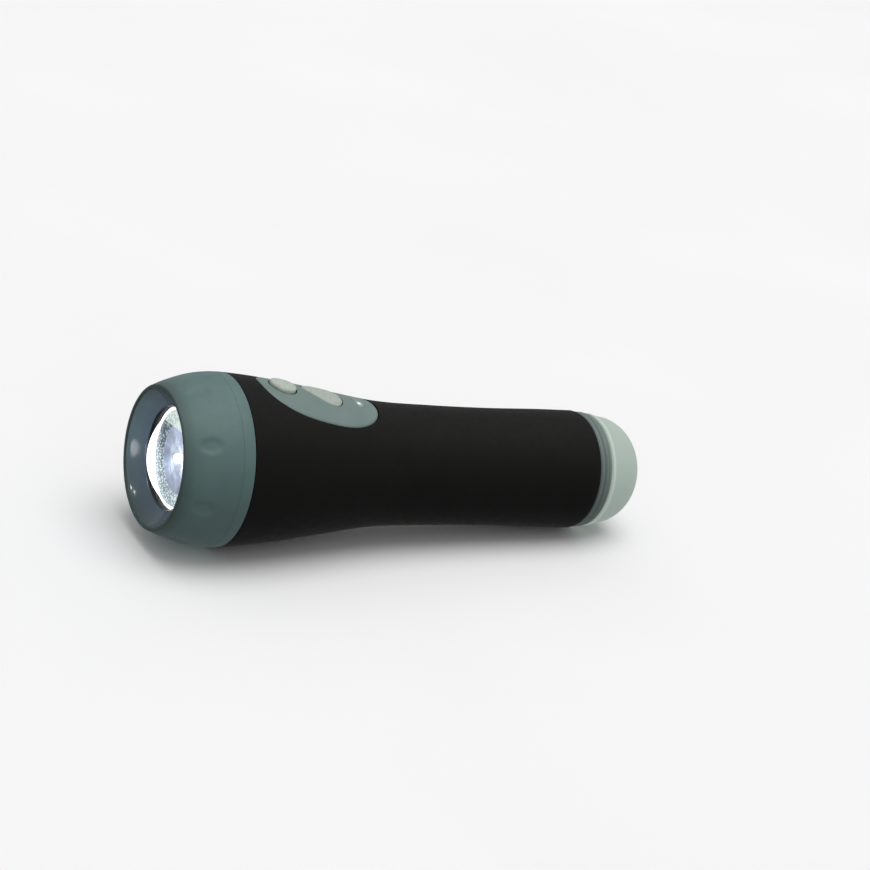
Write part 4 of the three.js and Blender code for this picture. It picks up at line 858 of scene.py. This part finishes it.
MATERIALS = {
    "bezel_rubber": boot_rubber("bezel_rubber"),
    "ring_plastic": funnel("ring_plastic"),
    "window_clear": clear("window_clear", linear(250, 252, 253), IOR=1.08, Coat_Weight=0.4),
    "cone_clear": clear("cone_clear", linear(235, 240, 248), IOR=1.46),
    "indicator_clear": indicator_window("indicator_clear"),
    "cup_silver": speckled("cup_silver"),
    "sleeve_rubber": moulded("sleeve_rubber", linear(21, 20, 19), 0.6, spread=0.1, Specular_IOR_Level=0.12),
    "shell_plastic": moulded("shell_plastic", linear(44, 44, 46), 0.5),
    "panel_plastic": moulded("panel_plastic", linear(113, 133, 129), 0.5),
    "button_rubber": wrinkled("button_rubber", linear(184, 194, 183)),
    "band_plastic": banded("band_plastic"),
    "dome_plastic": frosted("dome_plastic"),
    "knob_plastic": moulded("knob_plastic", linear(92, 110, 106), 0.45),
    "seal_rubber": moulded("seal_rubber", linear(13, 14, 16), 0.6),
    "steel": metal("steel", linear(196, 198, 200), 0.3),
    "brass": metal("brass", linear(200, 168, 96), 0.3),
    "copper_winding": metal("copper_winding", linear(186, 108, 64), 0.35, brushed=3.0),
    "aluminium": metal("aluminium", linear(184, 188, 192), 0.4),
    "board": moulded("board", linear(26, 88, 56), 0.4, grain=SMOOTH_GRAIN),
    "chip_plastic": moulded("chip_plastic", linear(30, 30, 30), 0.5),
    "cell_wrap": moulded("cell_wrap", linear(74, 122, 82), 0.3, grain=SMOOTH_GRAIN),
    "nylon": moulded("nylon", linear(226, 222, 210), 0.45),
    "wire_red": moulded("wire_red", linear(168, 42, 34), 0.4),
    "wire_black": moulded("wire_black", linear(26, 26, 26), 0.4),
    "magnet_ferrite": moulded("magnet_ferrite", linear(74, 74, 78), 0.6, grain=COARSE_GRAIN),
    "led_yellow": moulded("led_yellow", linear(244, 240, 200), 0.25, grain=SMOOTH_GRAIN),
}


# Head

def dimple_depth(x, angle, radius):
    """How far the eight soft dimples press the boot in at a point."""
    step = 2 * math.pi / DIMPLES
    around = (angle - DIMPLE_TURN + step / 2) % step - step / 2
    share = math.hypot((x - DIMPLE_PLACE) / DIMPLE_HALF_LENGTH, around * radius / DIMPLE_HALF_WIDTH)
    if radius < head_radius(x) - BOOT_WALL / 2 or share > DIMPLE_REACH:
        return 0.0
    slope = max(share - DIMPLE_FLAT_SHARE, 0) / (DIMPLE_REACH - DIMPLE_FLAT_SHARE)
    return -DIMPLE_DEPTH * (0.5 + 0.5 * math.cos(math.pi * slope))


def bezel_boot():
    crest = RIM_RADIUS - RIM_FLAT / 3
    inner = crest - RIM_INNER_ROUND
    outside = RIM_RADIUS + RIM_FLAT / 2
    turns = [k / ROUND_STEPS * math.pi / 2 for k in range(ROUND_STEPS + 1)]
    front = [(RIM_INNER_ROUND * (1 - math.sin(t)), crest - RIM_INNER_ROUND * math.cos(t)) for t in turns]
    front += [(RIM_ROUND * (1 - math.cos(t)), outside + RIM_ROUND * math.sin(t)) for t in turns[:-1]]
    outer = stepped(RIM_ROUND, BOOT_END - EDGE_ROUND, BOOT_STEPS, head_radius)
    crease = [
        (BOOT_END - CREASE_WIDTH, HEAD_RADIUS - CREASE_SHOULDER),
        (BOOT_END, HEAD_RADIUS - CREASE_DEPTH),
    ]
    back = [(BOOT_END, HEAD_RADIUS - BOOT_WALL), (FUNNEL_FRONT + BOOT_WALL, inner + RIM_SEAT)]
    mesh = turned("bezel_boot_soft", front + outer + crease + back, BOOT_SEGMENTS, dimple_depth)
    piece(mesh, "bezel_rubber", "torch", ["bezel_boot"])


def bezel_ring():
    """The ring shows as the dark funnel, its inner step painted black as painted shade, and the lip behind the
    boot.
    """
    lip_end = SEAM - SEAM_GAP
    inside = FUNNEL_BACK_RADIUS + RING_WALL
    seat = HEAD_RADIUS - BOOT_WALL - RING_SEAT
    depth = FUNNEL_BACK - FUNNEL_FRONT
    narrowing = FUNNEL_BACK_RADIUS - FUNNEL_FRONT_RADIUS
    steps = [k / FUNNEL_STEPS for k in range(FUNNEL_STEPS + 1)]
    outline = [
        (FUNNEL_FRONT + BOOT_WALL + RING_GAP, FUNNEL_FRONT_RADIUS + FUNNEL_EDGE),
        *[(FUNNEL_FRONT + t * depth, FUNNEL_FRONT_RADIUS + narrowing * t**FUNNEL_POWER) for t in steps],
        (GROOVE_BACK, FUNNEL_BACK_RADIUS),
        (GROOVE_BACK, inside),
        (lip_end, inside),
        *[(lip_end - back, HEAD_RADIUS - down) for back, down in LIP_CORNER],
        (LIP_START + EDGE_ROUND, HEAD_RADIUS),
        (LIP_START + CREASE_WIDTH, HEAD_RADIUS - CREASE_SHOULDER),
        (LIP_START, HEAD_RADIUS - CREASE_DEPTH),
        (LIP_START, seat),
        (BOOT_END, seat),
    ]
    mesh = turned("bezel_ring_turned", outline, ROUND_SEGMENTS)
    piece(mesh, "ring_plastic", "torch", ["bezel_ring"])
    mesh.materials.append(MATERIALS["bezel_rubber"])
    mesh.materials.append(MATERIALS["seal_rubber"])
    inverse = TORCH.inverted()
    for polygon in mesh.polygons:
        middle = inverse @ polygon.center
        if middle.x > BOOT_END:
            polygon.material_index = 1
        # Painted shade: the inner step takes the black seal rubber
        elif middle.x > FUNNEL_BACK and middle.yz.length < FUNNEL_BACK_RADIUS + STEP_TOLERANCE:
            polygon.material_index = 2


def window():
    """A thin disc with a round edge."""
    back = WINDOW_PLACE + WINDOW_THICKNESS
    shares = [k / WINDOW_STEPS for k in range(WINDOW_STEPS + 1)]
    corner = [(WINDOW_ROUND * share**2, WINDOW_ROUND * (1 - share) ** 2) for share in shares]
    outline = [
        (WINDOW_PLACE, 0),
        *[(WINDOW_PLACE + along, WINDOW_RADIUS - down) for along, down in corner],
        *[(back - along, WINDOW_RADIUS - down) for along, down in corner[::-1]],
        (back, 0),
    ]
    piece(turned("window_clear_disc", outline, OPTIC_SEGMENTS), "window_clear", "torch", ["lens"])


def cup():
    """The white wall, which reaches further forward on one side, and the pebbled ring and cup behind it."""
    front = GROOVE_BACK - GLOW_REACH
    wall = [
        (front, GLOW_RADIUS),
        (GROOVE_BACK - GLOW_CORNER, GLOW_RADIUS),
        (GROOVE_BACK, GLOW_RADIUS - GLOW_CORNER),
        (GLOW_BACK, GLOW_BACK_RADIUS + GLOW_BEVEL),
        (GLOW_BACK + 2 * GLOW_BEVEL, GLOW_BACK_RADIUS),
        (GLOW_BACK + GLOW_WALL, GLOW_BACK_RADIUS),
        (GLOW_BACK + GLOW_WALL, GLOW_RADIUS + GLOW_SKIN),
        (front, GLOW_RADIUS + GLOW_SKIN),
    ]
    mesh = turned("cup_glow_wall", wall, GLOW_SEGMENTS)
    for vertex in mesh.vertices:
        if vertex.co.x < front + SPECK:
            around = abs(math.atan2(vertex.co.y, vertex.co.z) - GLOW_TURN) / GLOW_HALF_TURN
            reach = GLOW_REACH * math.cos(math.pi / 2 * around) if around < 1 else 0.0
            vertex.co.x = GROOVE_BACK - max(reach, GLOW_LEAST_REACH)
    piece(mesh, "cup_silver", "torch", material=glowing_ring("cup_glow"))
    rim = GLOW_BACK_RADIUS - FACE_GAP
    face = [
        (GLOW_BACK + FACE_START, rim),
        (GLOW_BACK + FACE_SAG, (GLOW_BACK_RADIUS + CONE_RADIUS) / 2),
        (CONE_PLACE, CONE_RADIUS + CONE_GAP),
        (CONE_PLACE + CUP_DEPTH, CONE_RADIUS / 2),
        (CONE_PLACE + CUP_DEPTH, CONE_RADIUS / 2 + CUP_WALL),
        (CONE_PLACE + CUP_WALL, CONE_RADIUS + CUP_FLARE),
        (GLOW_BACK + FACE_END, rim),
    ]
    piece(turned("cup_pebbled_face", face, OPTIC_SEGMENTS), "cup_silver", "torch", ["optic_holder"])


def cone():
    """The light cone's faceted face, and the lit tip before it."""
    vertices, faces = [], []
    for depth, share, turn in CONE_RINGS:
        r = CONE_RADIUS * share
        for k in range(FACETS):
            angle = (k + turn) / FACETS * 2 * math.pi
            vertices.append((CONE_PLACE + depth, r * math.cos(angle), r * math.sin(angle)))
    for i in range(len(CONE_RINGS) - 1):
        for k in range(FACETS):
            a, b = i * FACETS + k, i * FACETS + (k + 1) % FACETS
            c, d = a + FACETS, b + FACETS
            if CONE_RINGS[i][2] == 0:
                faces += [(a, b, c), (b, d, c)]
            else:
                faces += [(a, b, d), (a, d, c)]
    tip = len(vertices)
    vertices.append((CONE_PLACE, 0, 0))
    last = (len(CONE_RINGS) - 1) * FACETS
    faces += [(last + k, last + (k + 1) % FACETS, tip) for k in range(FACETS)]
    back = len(vertices)
    vertices.append((CONE_PLACE + CONE_DEPTH, 0, 0))
    faces += [((k + 1) % FACETS, k, back) for k in range(FACETS)]
    mesh = mesh_of("light_cone_faceted", vertices, faces, smooth=False)
    piece(mesh, "cone_clear", "torch", ["collimator"], material=lamp_cone("lamp_cone"))
    turns = [k / LAMP_STEPS * math.pi / 2 for k in range(LAMP_STEPS + 1)]
    tip = [(CONE_PLACE - LAMP_REACH * math.cos(t), LAMP_RADIUS * math.sin(t)) for t in turns]
    back = CONE_PLACE + LAMP_SEAT
    mesh = turned("lamp_bright_tip", [*tip, (back, LAMP_RADIUS), (back, 0.0)], SMALL_SEGMENTS)
    piece(mesh, "led_yellow", "torch", material=lamp_white("lamp_white"))


# Grip and controls

def oval(outline, allowance=0.0):
    """A superellipse from its place, half length, half width and power."""
    place, half_length, half_width, power = outline
    points = []
    for k in range(OVAL_POINTS):
        angle = k / OVAL_POINTS * 2 * math.pi
        c, s = math.cos(angle), math.sin(angle)
        x = math.copysign(abs(c) ** (2 / power), c) * (half_length + allowance)
        y = math.copysign(abs(s) ** (2 / power), s) * (half_width + allowance)
        points.append((place + x, y))
    return points


def egg(allowance=0.0):
    """The mode button's outline, whose narrow front end leans to one side."""
    near, far = [], []
    for k in range(EGG_STEPS + 1):
        share = 0.5 - 0.5 * math.cos(k / EGG_STEPS * math.pi)
        half = max(share_at(EGG_STATION_SHARES, EGG_WIDTH_SHARES, share), 0) * (MODE_HALF_WIDTH + allowance)
        x = MODE_PLACE + (share - 0.5) * (MODE_LENGTH + 2 * allowance)
        ahead = min(max(0.5 - (x - MODE_PLACE) / MODE_LENGTH, 0), 1)
        lean = MODE_LEAN * ahead**2
        near.append((x, lean - half))
        far.append((x, lean + half))
    return near + far[-2:0:-1]


def grip_height(x, y):
    return math.sqrt(max(grip_radius(x) ** 2 - y * y, 0))


def patch(name, outline, profile, floor_depth, rings=PATCH_RINGS):
    """A cap that follows the grip over an outline: profile(share) is its rise above the grip from the
    middle (0) to the edge (1), and its wall goes down to floor_depth."""
    count = len(outline)
    middle_x = sum(x for x, _ in outline) / count
    middle_y = sum(y for _, y in outline) / count
    shares = [1 - (1 - k / rings) ** PATCH_POWER for k in range(1, rings + 1)]
    vertices = [(middle_x, middle_y, grip_height(middle_x, middle_y) + profile(0))]
    for share in shares:
        for x, y in outline:
            px = middle_x + (x - middle_x) * share
            py = middle_y + (y - middle_y) * share
            vertices.append((px, py, grip_height(px, py) + profile(share)))
    for x, y in outline:
        vertices.append((x, y, grip_height(x, y) - floor_depth))
    faces = [(0, 1 + k, 1 + (k + 1) % count) for k in range(count)]
    for ring in range(rings):
        a, b = 1 + ring * count, 1 + (ring + 1) * count
        faces += [(a + k, b + k, b + (k + 1) % count, a + (k + 1) % count) for k in range(count)]
    bottom = 1 + rings * count
    faces.append(tuple(bottom + k for k in reversed(range(count))))
    return mesh_of(name, vertices, faces)


def grip_sleeve():
    start = SEAM + SEAM_GAP
    outer = stepped(start, GRIP_END, SLEEVE_STEPS, grip_radius)
    outer[0] = (start, outer[0][1] - SLEEVE_FRONT_DROP)
    outer[-1] = (GRIP_END, outer[-1][1] - SLEEVE_REAR_DROP)
    inner = [(x, r - SLEEVE_WALL) for x, r in stepped(start, GRIP_END, SLEEVE_INNER_STEPS, grip_radius)]
    base = turned("grip_sleeve_soft", outer + inner[::-1], ROUND_SEGMENTS)
    mesh = combined(base, [("DIFFERENCE", well_mesh(oval(PANEL_OVAL, PANEL_GAP)))])
    piece(mesh, "sleeve_rubber", "torch", ["grip_sleeve"])


def panel_edge(share):
    """The panel's face stays level and rolls off at its edge."""
    return -PANEL_EDGE_DROP * (max(share - PANEL_EDGE_START, 0) / (1 - PANEL_EDGE_START)) ** 2


def control_panel():
    base = patch("control_panel_inlay", oval(PANEL_OVAL), panel_edge, SLEEVE_WALL, PANEL_RINGS)
    outlines = (oval(POWER_OVAL, POWER_GAP), egg(MODE_GAP), oval(INDICATOR_OVAL, INDICATOR_GAP))
    mesh = combined(base, [("DIFFERENCE", well_mesh(outline)) for outline in outlines])
    piece(mesh, "panel_plastic", "torch", ["control_panel"])


def domed(rise, edge_rise, roll):
    """A rise that domes from its edge to its middle, with a round shoulder."""

    def profile(share):
        crown = edge_rise + (rise - edge_rise) * (1 - share**2)
        shoulder = max(share - SHOULDER_START, 0) / (1 - SHOULDER_START)
        return crown - roll * shoulder**SHOULDER_POWER

    return profile


def buttons():
    crown = domed(POWER_RISE, POWER_RISE * POWER_EDGE_SHARE, BUTTON_ROLL)
    power = patch("button_power_cap", oval(POWER_OVAL), crown, POWER_DEPTH)
    piece(power, "button_rubber", "power_button", ["button_power"])
    crown = domed(MODE_RISE, MODE_RISE * MODE_EDGE_SHARE, BUTTON_ROLL)
    mode = patch("button_mode_cap", egg(), crown, MODE_DEPTH)
    # Painted shade: the mode button takes a darker copy of the button rubber
    shaded = wrinkled("button_painted_shade", linear(174, 184, 175))
    piece(mode, "button_rubber", "mode_button", ["button_mode"], material=shaded)


def indicator():
    crown = domed(INDICATOR_RISE, INDICATOR_EDGE_RISE, INDICATOR_ROLL)
    mesh = patch("indicator_window", oval(INDICATOR_OVAL), crown, INDICATOR_DEPTH)
    piece(mesh, "cone_clear", "torch", ["indicator_lens"], material=MATERIALS["indicator_clear"])


# Tail

def tail_collar():
    def ridge(x):
        rise = 0.0
        for place in RIDGE_PLACES:
            share = abs(x - place) / RIDGE_HALF_WIDTH
            if share < 1:
                rise = max(rise, RIDGE_RISE * (0.5 + 0.5 * math.cos(math.pi * share)))
        slope = COLLAR_TAPER * (x - COLLAR_START) / (DOME_BASE - COLLAR_START)
        return COLLAR_RADIUS - slope + rise

    end = DOME_BASE - COLLAR_GAP
    band = stepped(COLLAR_START, end, COLLAR_STEPS, ridge)
    outline = [
        (SPIGOT_START, WEB_BORE),
        (SPIGOT_START, SPIGOT_RADIUS),
        (COLLAR_START, SPIGOT_RADIUS),
        *[(COLLAR_START + along, band[0][1] - down) for along, down in COLLAR_FRONT_CORNER],
        *band[2:-2],
        *[(end - along, band[-1][1] - down) for along, down in COLLAR_REAR_CORNER],
        (end, COLLAR_BORE),
        (WEB_REAR, COLLAR_BORE),
        (WEB_REAR, WEB_BORE),
    ]
    piece(turned("tail_collar_band", outline, ROUND_SEGMENTS), "band_plastic", "torch", ["tail_collar"])


def dome_solid(name, bead=False):
    base = DOME_BASE + DOME_GAP
    outline = [(base, 0.0), *[(base + along, DOME_RADIUS - down) for along, down in DOME_CORNER]]
    for x, r in dome_profile()[1:]:
        if x <= base + DOME_CORNER_END:
            continue
        share = min((x - base) / BEAD_WIDTH, 1)
        rise = BEAD_RISE * min(share * BEAD_FRONT_SLOPE, 1, (1 - share) * BEAD_REAR_SLOPE) if bead else 0.0
        outline.append((x, r + rise if r else 0.0))
    return turned(name, outline, ROUND_SEGMENTS)


def slot_box(name, x0, z0, z1, half=SLOT_HALF):
    """A cutting tool along the crank's slot, out past the dome's tip."""
    return box_mesh(name, x0, DOME_BASE + DOME_HEIGHT + OVERRUN, -half, half, z0, z1)


def crank_dome():
    reach = DOME_RADIUS + OVERRUN
    tools = (
        slot_box("channel", DOME_BASE + SLOT_FLOOR, -reach, reach),
        slot_box("mouth", DOME_BASE + MOUTH_START, -reach, POCKET_INNER),
        slot_box("well", DOME_BASE - OVERRUN, POCKET_OUTER, POCKET_INNER),
    )
    solid = dome_solid("crank_dome_shell", bead=True)
    mesh = combined(solid, [("DIFFERENCE", tool) for tool in tools], DOME_BEVEL)
    hidden = ["crank_dome", "hinge_pin", "dome_screw_left", "dome_screw_right"]
    piece(mesh, "dome_plastic", "crank", hidden, CRANK)


def crank_arm():
    hinge_x = DOME_BASE + HINGE_HEIGHT
    face = hinge_x - ARM_GAP
    start = DOME_BASE - CORE_OVERRUN
    reach = DOME_RADIUS + OVERRUN
    hollow = [(start, 0.0), (start, DOME_RADIUS - ARM_WALL), *dome_profile(ARM_WALL)]
    core = turned("core", hollow, OPTIC_SEGMENTS)
    band = slot_box("band", face, -reach, HINGE_OFFSET + KNUCKLE_RADIUS, ARM_HALF)
    under = box_mesh("under", start, hinge_x, -reach, reach, 0, reach)
    knuckle = cross_rod_mesh("knuckle", hinge_x, HINGE_OFFSET, KNUCKLE_RADIUS, ARM_HALF)
    boss_radius = KNOB_RADIUS - ARM_GAP
    boss_end = face + BOSS_LENGTH
    boss_outline = [(face, 0), (face, boss_radius), (boss_end, boss_radius), (boss_end, 0)]
    boss = turned("boss", boss_outline, BOSS_SEGMENTS)
    boss.transform(Matrix.Translation((0, 0, -KNOB_OFFSET)))
    steps = [
        ("DIFFERENCE", core),
        ("INTERSECT", band),
        ("DIFFERENCE", under),
        ("UNION", knuckle),
        ("UNION", boss),
        ("INTERSECT", dome_solid("limit")),
    ]
    mesh = combined(dome_solid("crank_arm_strap"), steps, ARM_BEVEL)
    piece(mesh, "dome_plastic", "arm", ["crank_arm"], CRANK)


def hinge_pin():
    half = SLOT_HALF + PIN_OVERHANG
    mesh = cross_rod_mesh("hinge_pin_rod", DOME_BASE + HINGE_HEIGHT, HINGE_OFFSET, PIN_RADIUS, half)
    piece(mesh, "steel", "crank", place=CRANK)


def knob():
    top = DOME_BASE + HINGE_HEIGHT - KNOB_GAP
    tip = top - KNOB_LENGTH
    recess = tip + KNOB_RECESS_DEPTH
    grooves = [(k + 1) / (KNOB_GROOVES + 1) for k in range(KNOB_GROOVES)]
    side = []
    for k in range(KNOB_STEPS + 1):
        share = k / KNOB_STEPS
        near = min(min(abs(share - place) for place in grooves) / GROOVE_HALF_SHARE, 1)
        groove = GROOVE_DEPTH * (0.5 + 0.5 * math.cos(math.pi * near))
        inside = max(KNOB_ROUND - min(share, 1 - share) * KNOB_LENGTH, 0)
        drop = KNOB_ROUND - math.sqrt(KNOB_ROUND**2 - inside**2)
        side.append((tip + share * KNOB_LENGTH, KNOB_RADIUS - groove - drop))
    hollow = [(recess, KNOB_BORE), (recess, KNOB_RECESS_RADIUS), (tip, KNOB_RECESS_RADIUS)]
    mesh = turned("knob_grooved", [*hollow, *side, (top, KNOB_BORE)], KNOB_SEGMENTS)
    mesh.transform(Matrix.Translation((0, 0, -KNOB_OFFSET)))
    piece(mesh, "knob_plastic", "handle_knob", ["knob"], CRANK)


# Stage

def dress_nodes():
    """Gives every CAD node that stays the material of its slot."""
    slots = {part["node"]: part["material_slot"] for part in frame["record"]["subparts"]}
    for name, node in frame["nodes"].items():
        node.data.materials.clear()
        node.data.materials.append(MATERIALS[slots[name]])


def camera():
    back = Vector((
        math.sin(CAMERA_AZIMUTH) * math.cos(CAMERA_ELEVATION),
        -math.cos(CAMERA_AZIMUTH) * math.cos(CAMERA_ELEVATION),
        math.sin(CAMERA_ELEVATION),
    ))
    data = bpy.data.cameras.new("camera")
    data.lens = CAMERA_LENS
    made = bpy.data.objects.new("camera", data)
    level = Vector((0, 0, 1)).cross(back).normalized()
    turn = axes_matrix(level, back.cross(level), back, CAMERA_TARGET + back * CAMERA_DISTANCE)
    made.matrix_world = turn @ Matrix.Rotation(CAMERA_ROLL, 4, "Z")
    bpy.context.scene.collection.objects.link(made)
    bpy.context.scene.camera = made


def light(name, kind, energy, direction):
    """A light that shines from a direction."""
    data = bpy.data.lights.new(name, kind)
    data.energy = energy
    made = bpy.data.objects.new(name, data)
    made.rotation_mode = "QUATERNION"
    made.rotation_quaternion = direction.to_track_quat("Z", "Y")
    bpy.context.scene.collection.objects.link(made)
    return made


def accent_light(place, radius, power):
    made = light("accent_light", "AREA", power, place - RIM_CENTRE)
    made.data.shape = "DISK"
    made.data.size = 2 * radius
    made.location = place
    made.visible_camera = False
    made.visible_diffuse = False


def ground():
    size = FLOOR_HALF
    slab = box_mesh("floor", -size, size, -size, size, FLOOR_BOTTOM, FLOOR_TOP)
    floor = bpy.data.objects.new("floor", slab)
    floor.data.materials.append(floor_material())
    bpy.context.scene.collection.objects.link(floor)
    floor.visible_diffuse = False
    floor.visible_glossy = False


def sky():
    """A white sky, brighter above than at the horizon."""
    world = bpy.data.worlds.new("studio")
    world.use_nodes = True
    nodes, links = world.node_tree.nodes, world.node_tree.links
    direction = nodes.new("ShaderNodeTexCoord").outputs["Generated"]
    split = nodes.new("ShaderNodeSeparateXYZ")
    links.new(direction, split.inputs["Vector"])
    fade = nodes.new("ShaderNodeMapRange")
    fade.inputs["From Min"].default_value, fade.inputs["From Max"].default_value = SKY_LEVELS
    fade.inputs["To Min"].default_value, fade.inputs["To Max"].default_value = SKY_STRENGTHS
    links.new(split.outputs["Z"], fade.inputs["Value"])
    nodes["Background"].inputs["Color"].default_value = grey(1.0)
    links.new(fade.outputs["Result"], nodes["Background"].inputs["Strength"])
    bpy.context.scene.world = world
    bpy.context.scene.view_settings.view_transform = "Standard"


def lights():
    light("top_light", "SUN", SUN_STRENGTH, SUN_DIRECTION).data.angle = SUN_ANGLE
    for place, radius, power in ACCENTS:
        accent_light(Vector(place), radius, power)


camera()
dress_nodes()
bezel_boot()
bezel_ring()
window()
cup()
cone()
grip_sleeve()
control_panel()
buttons()
indicator()
tail_collar()
crank_dome()
crank_arm()
hinge_pin()
knob()
ground()
sky()
lights()
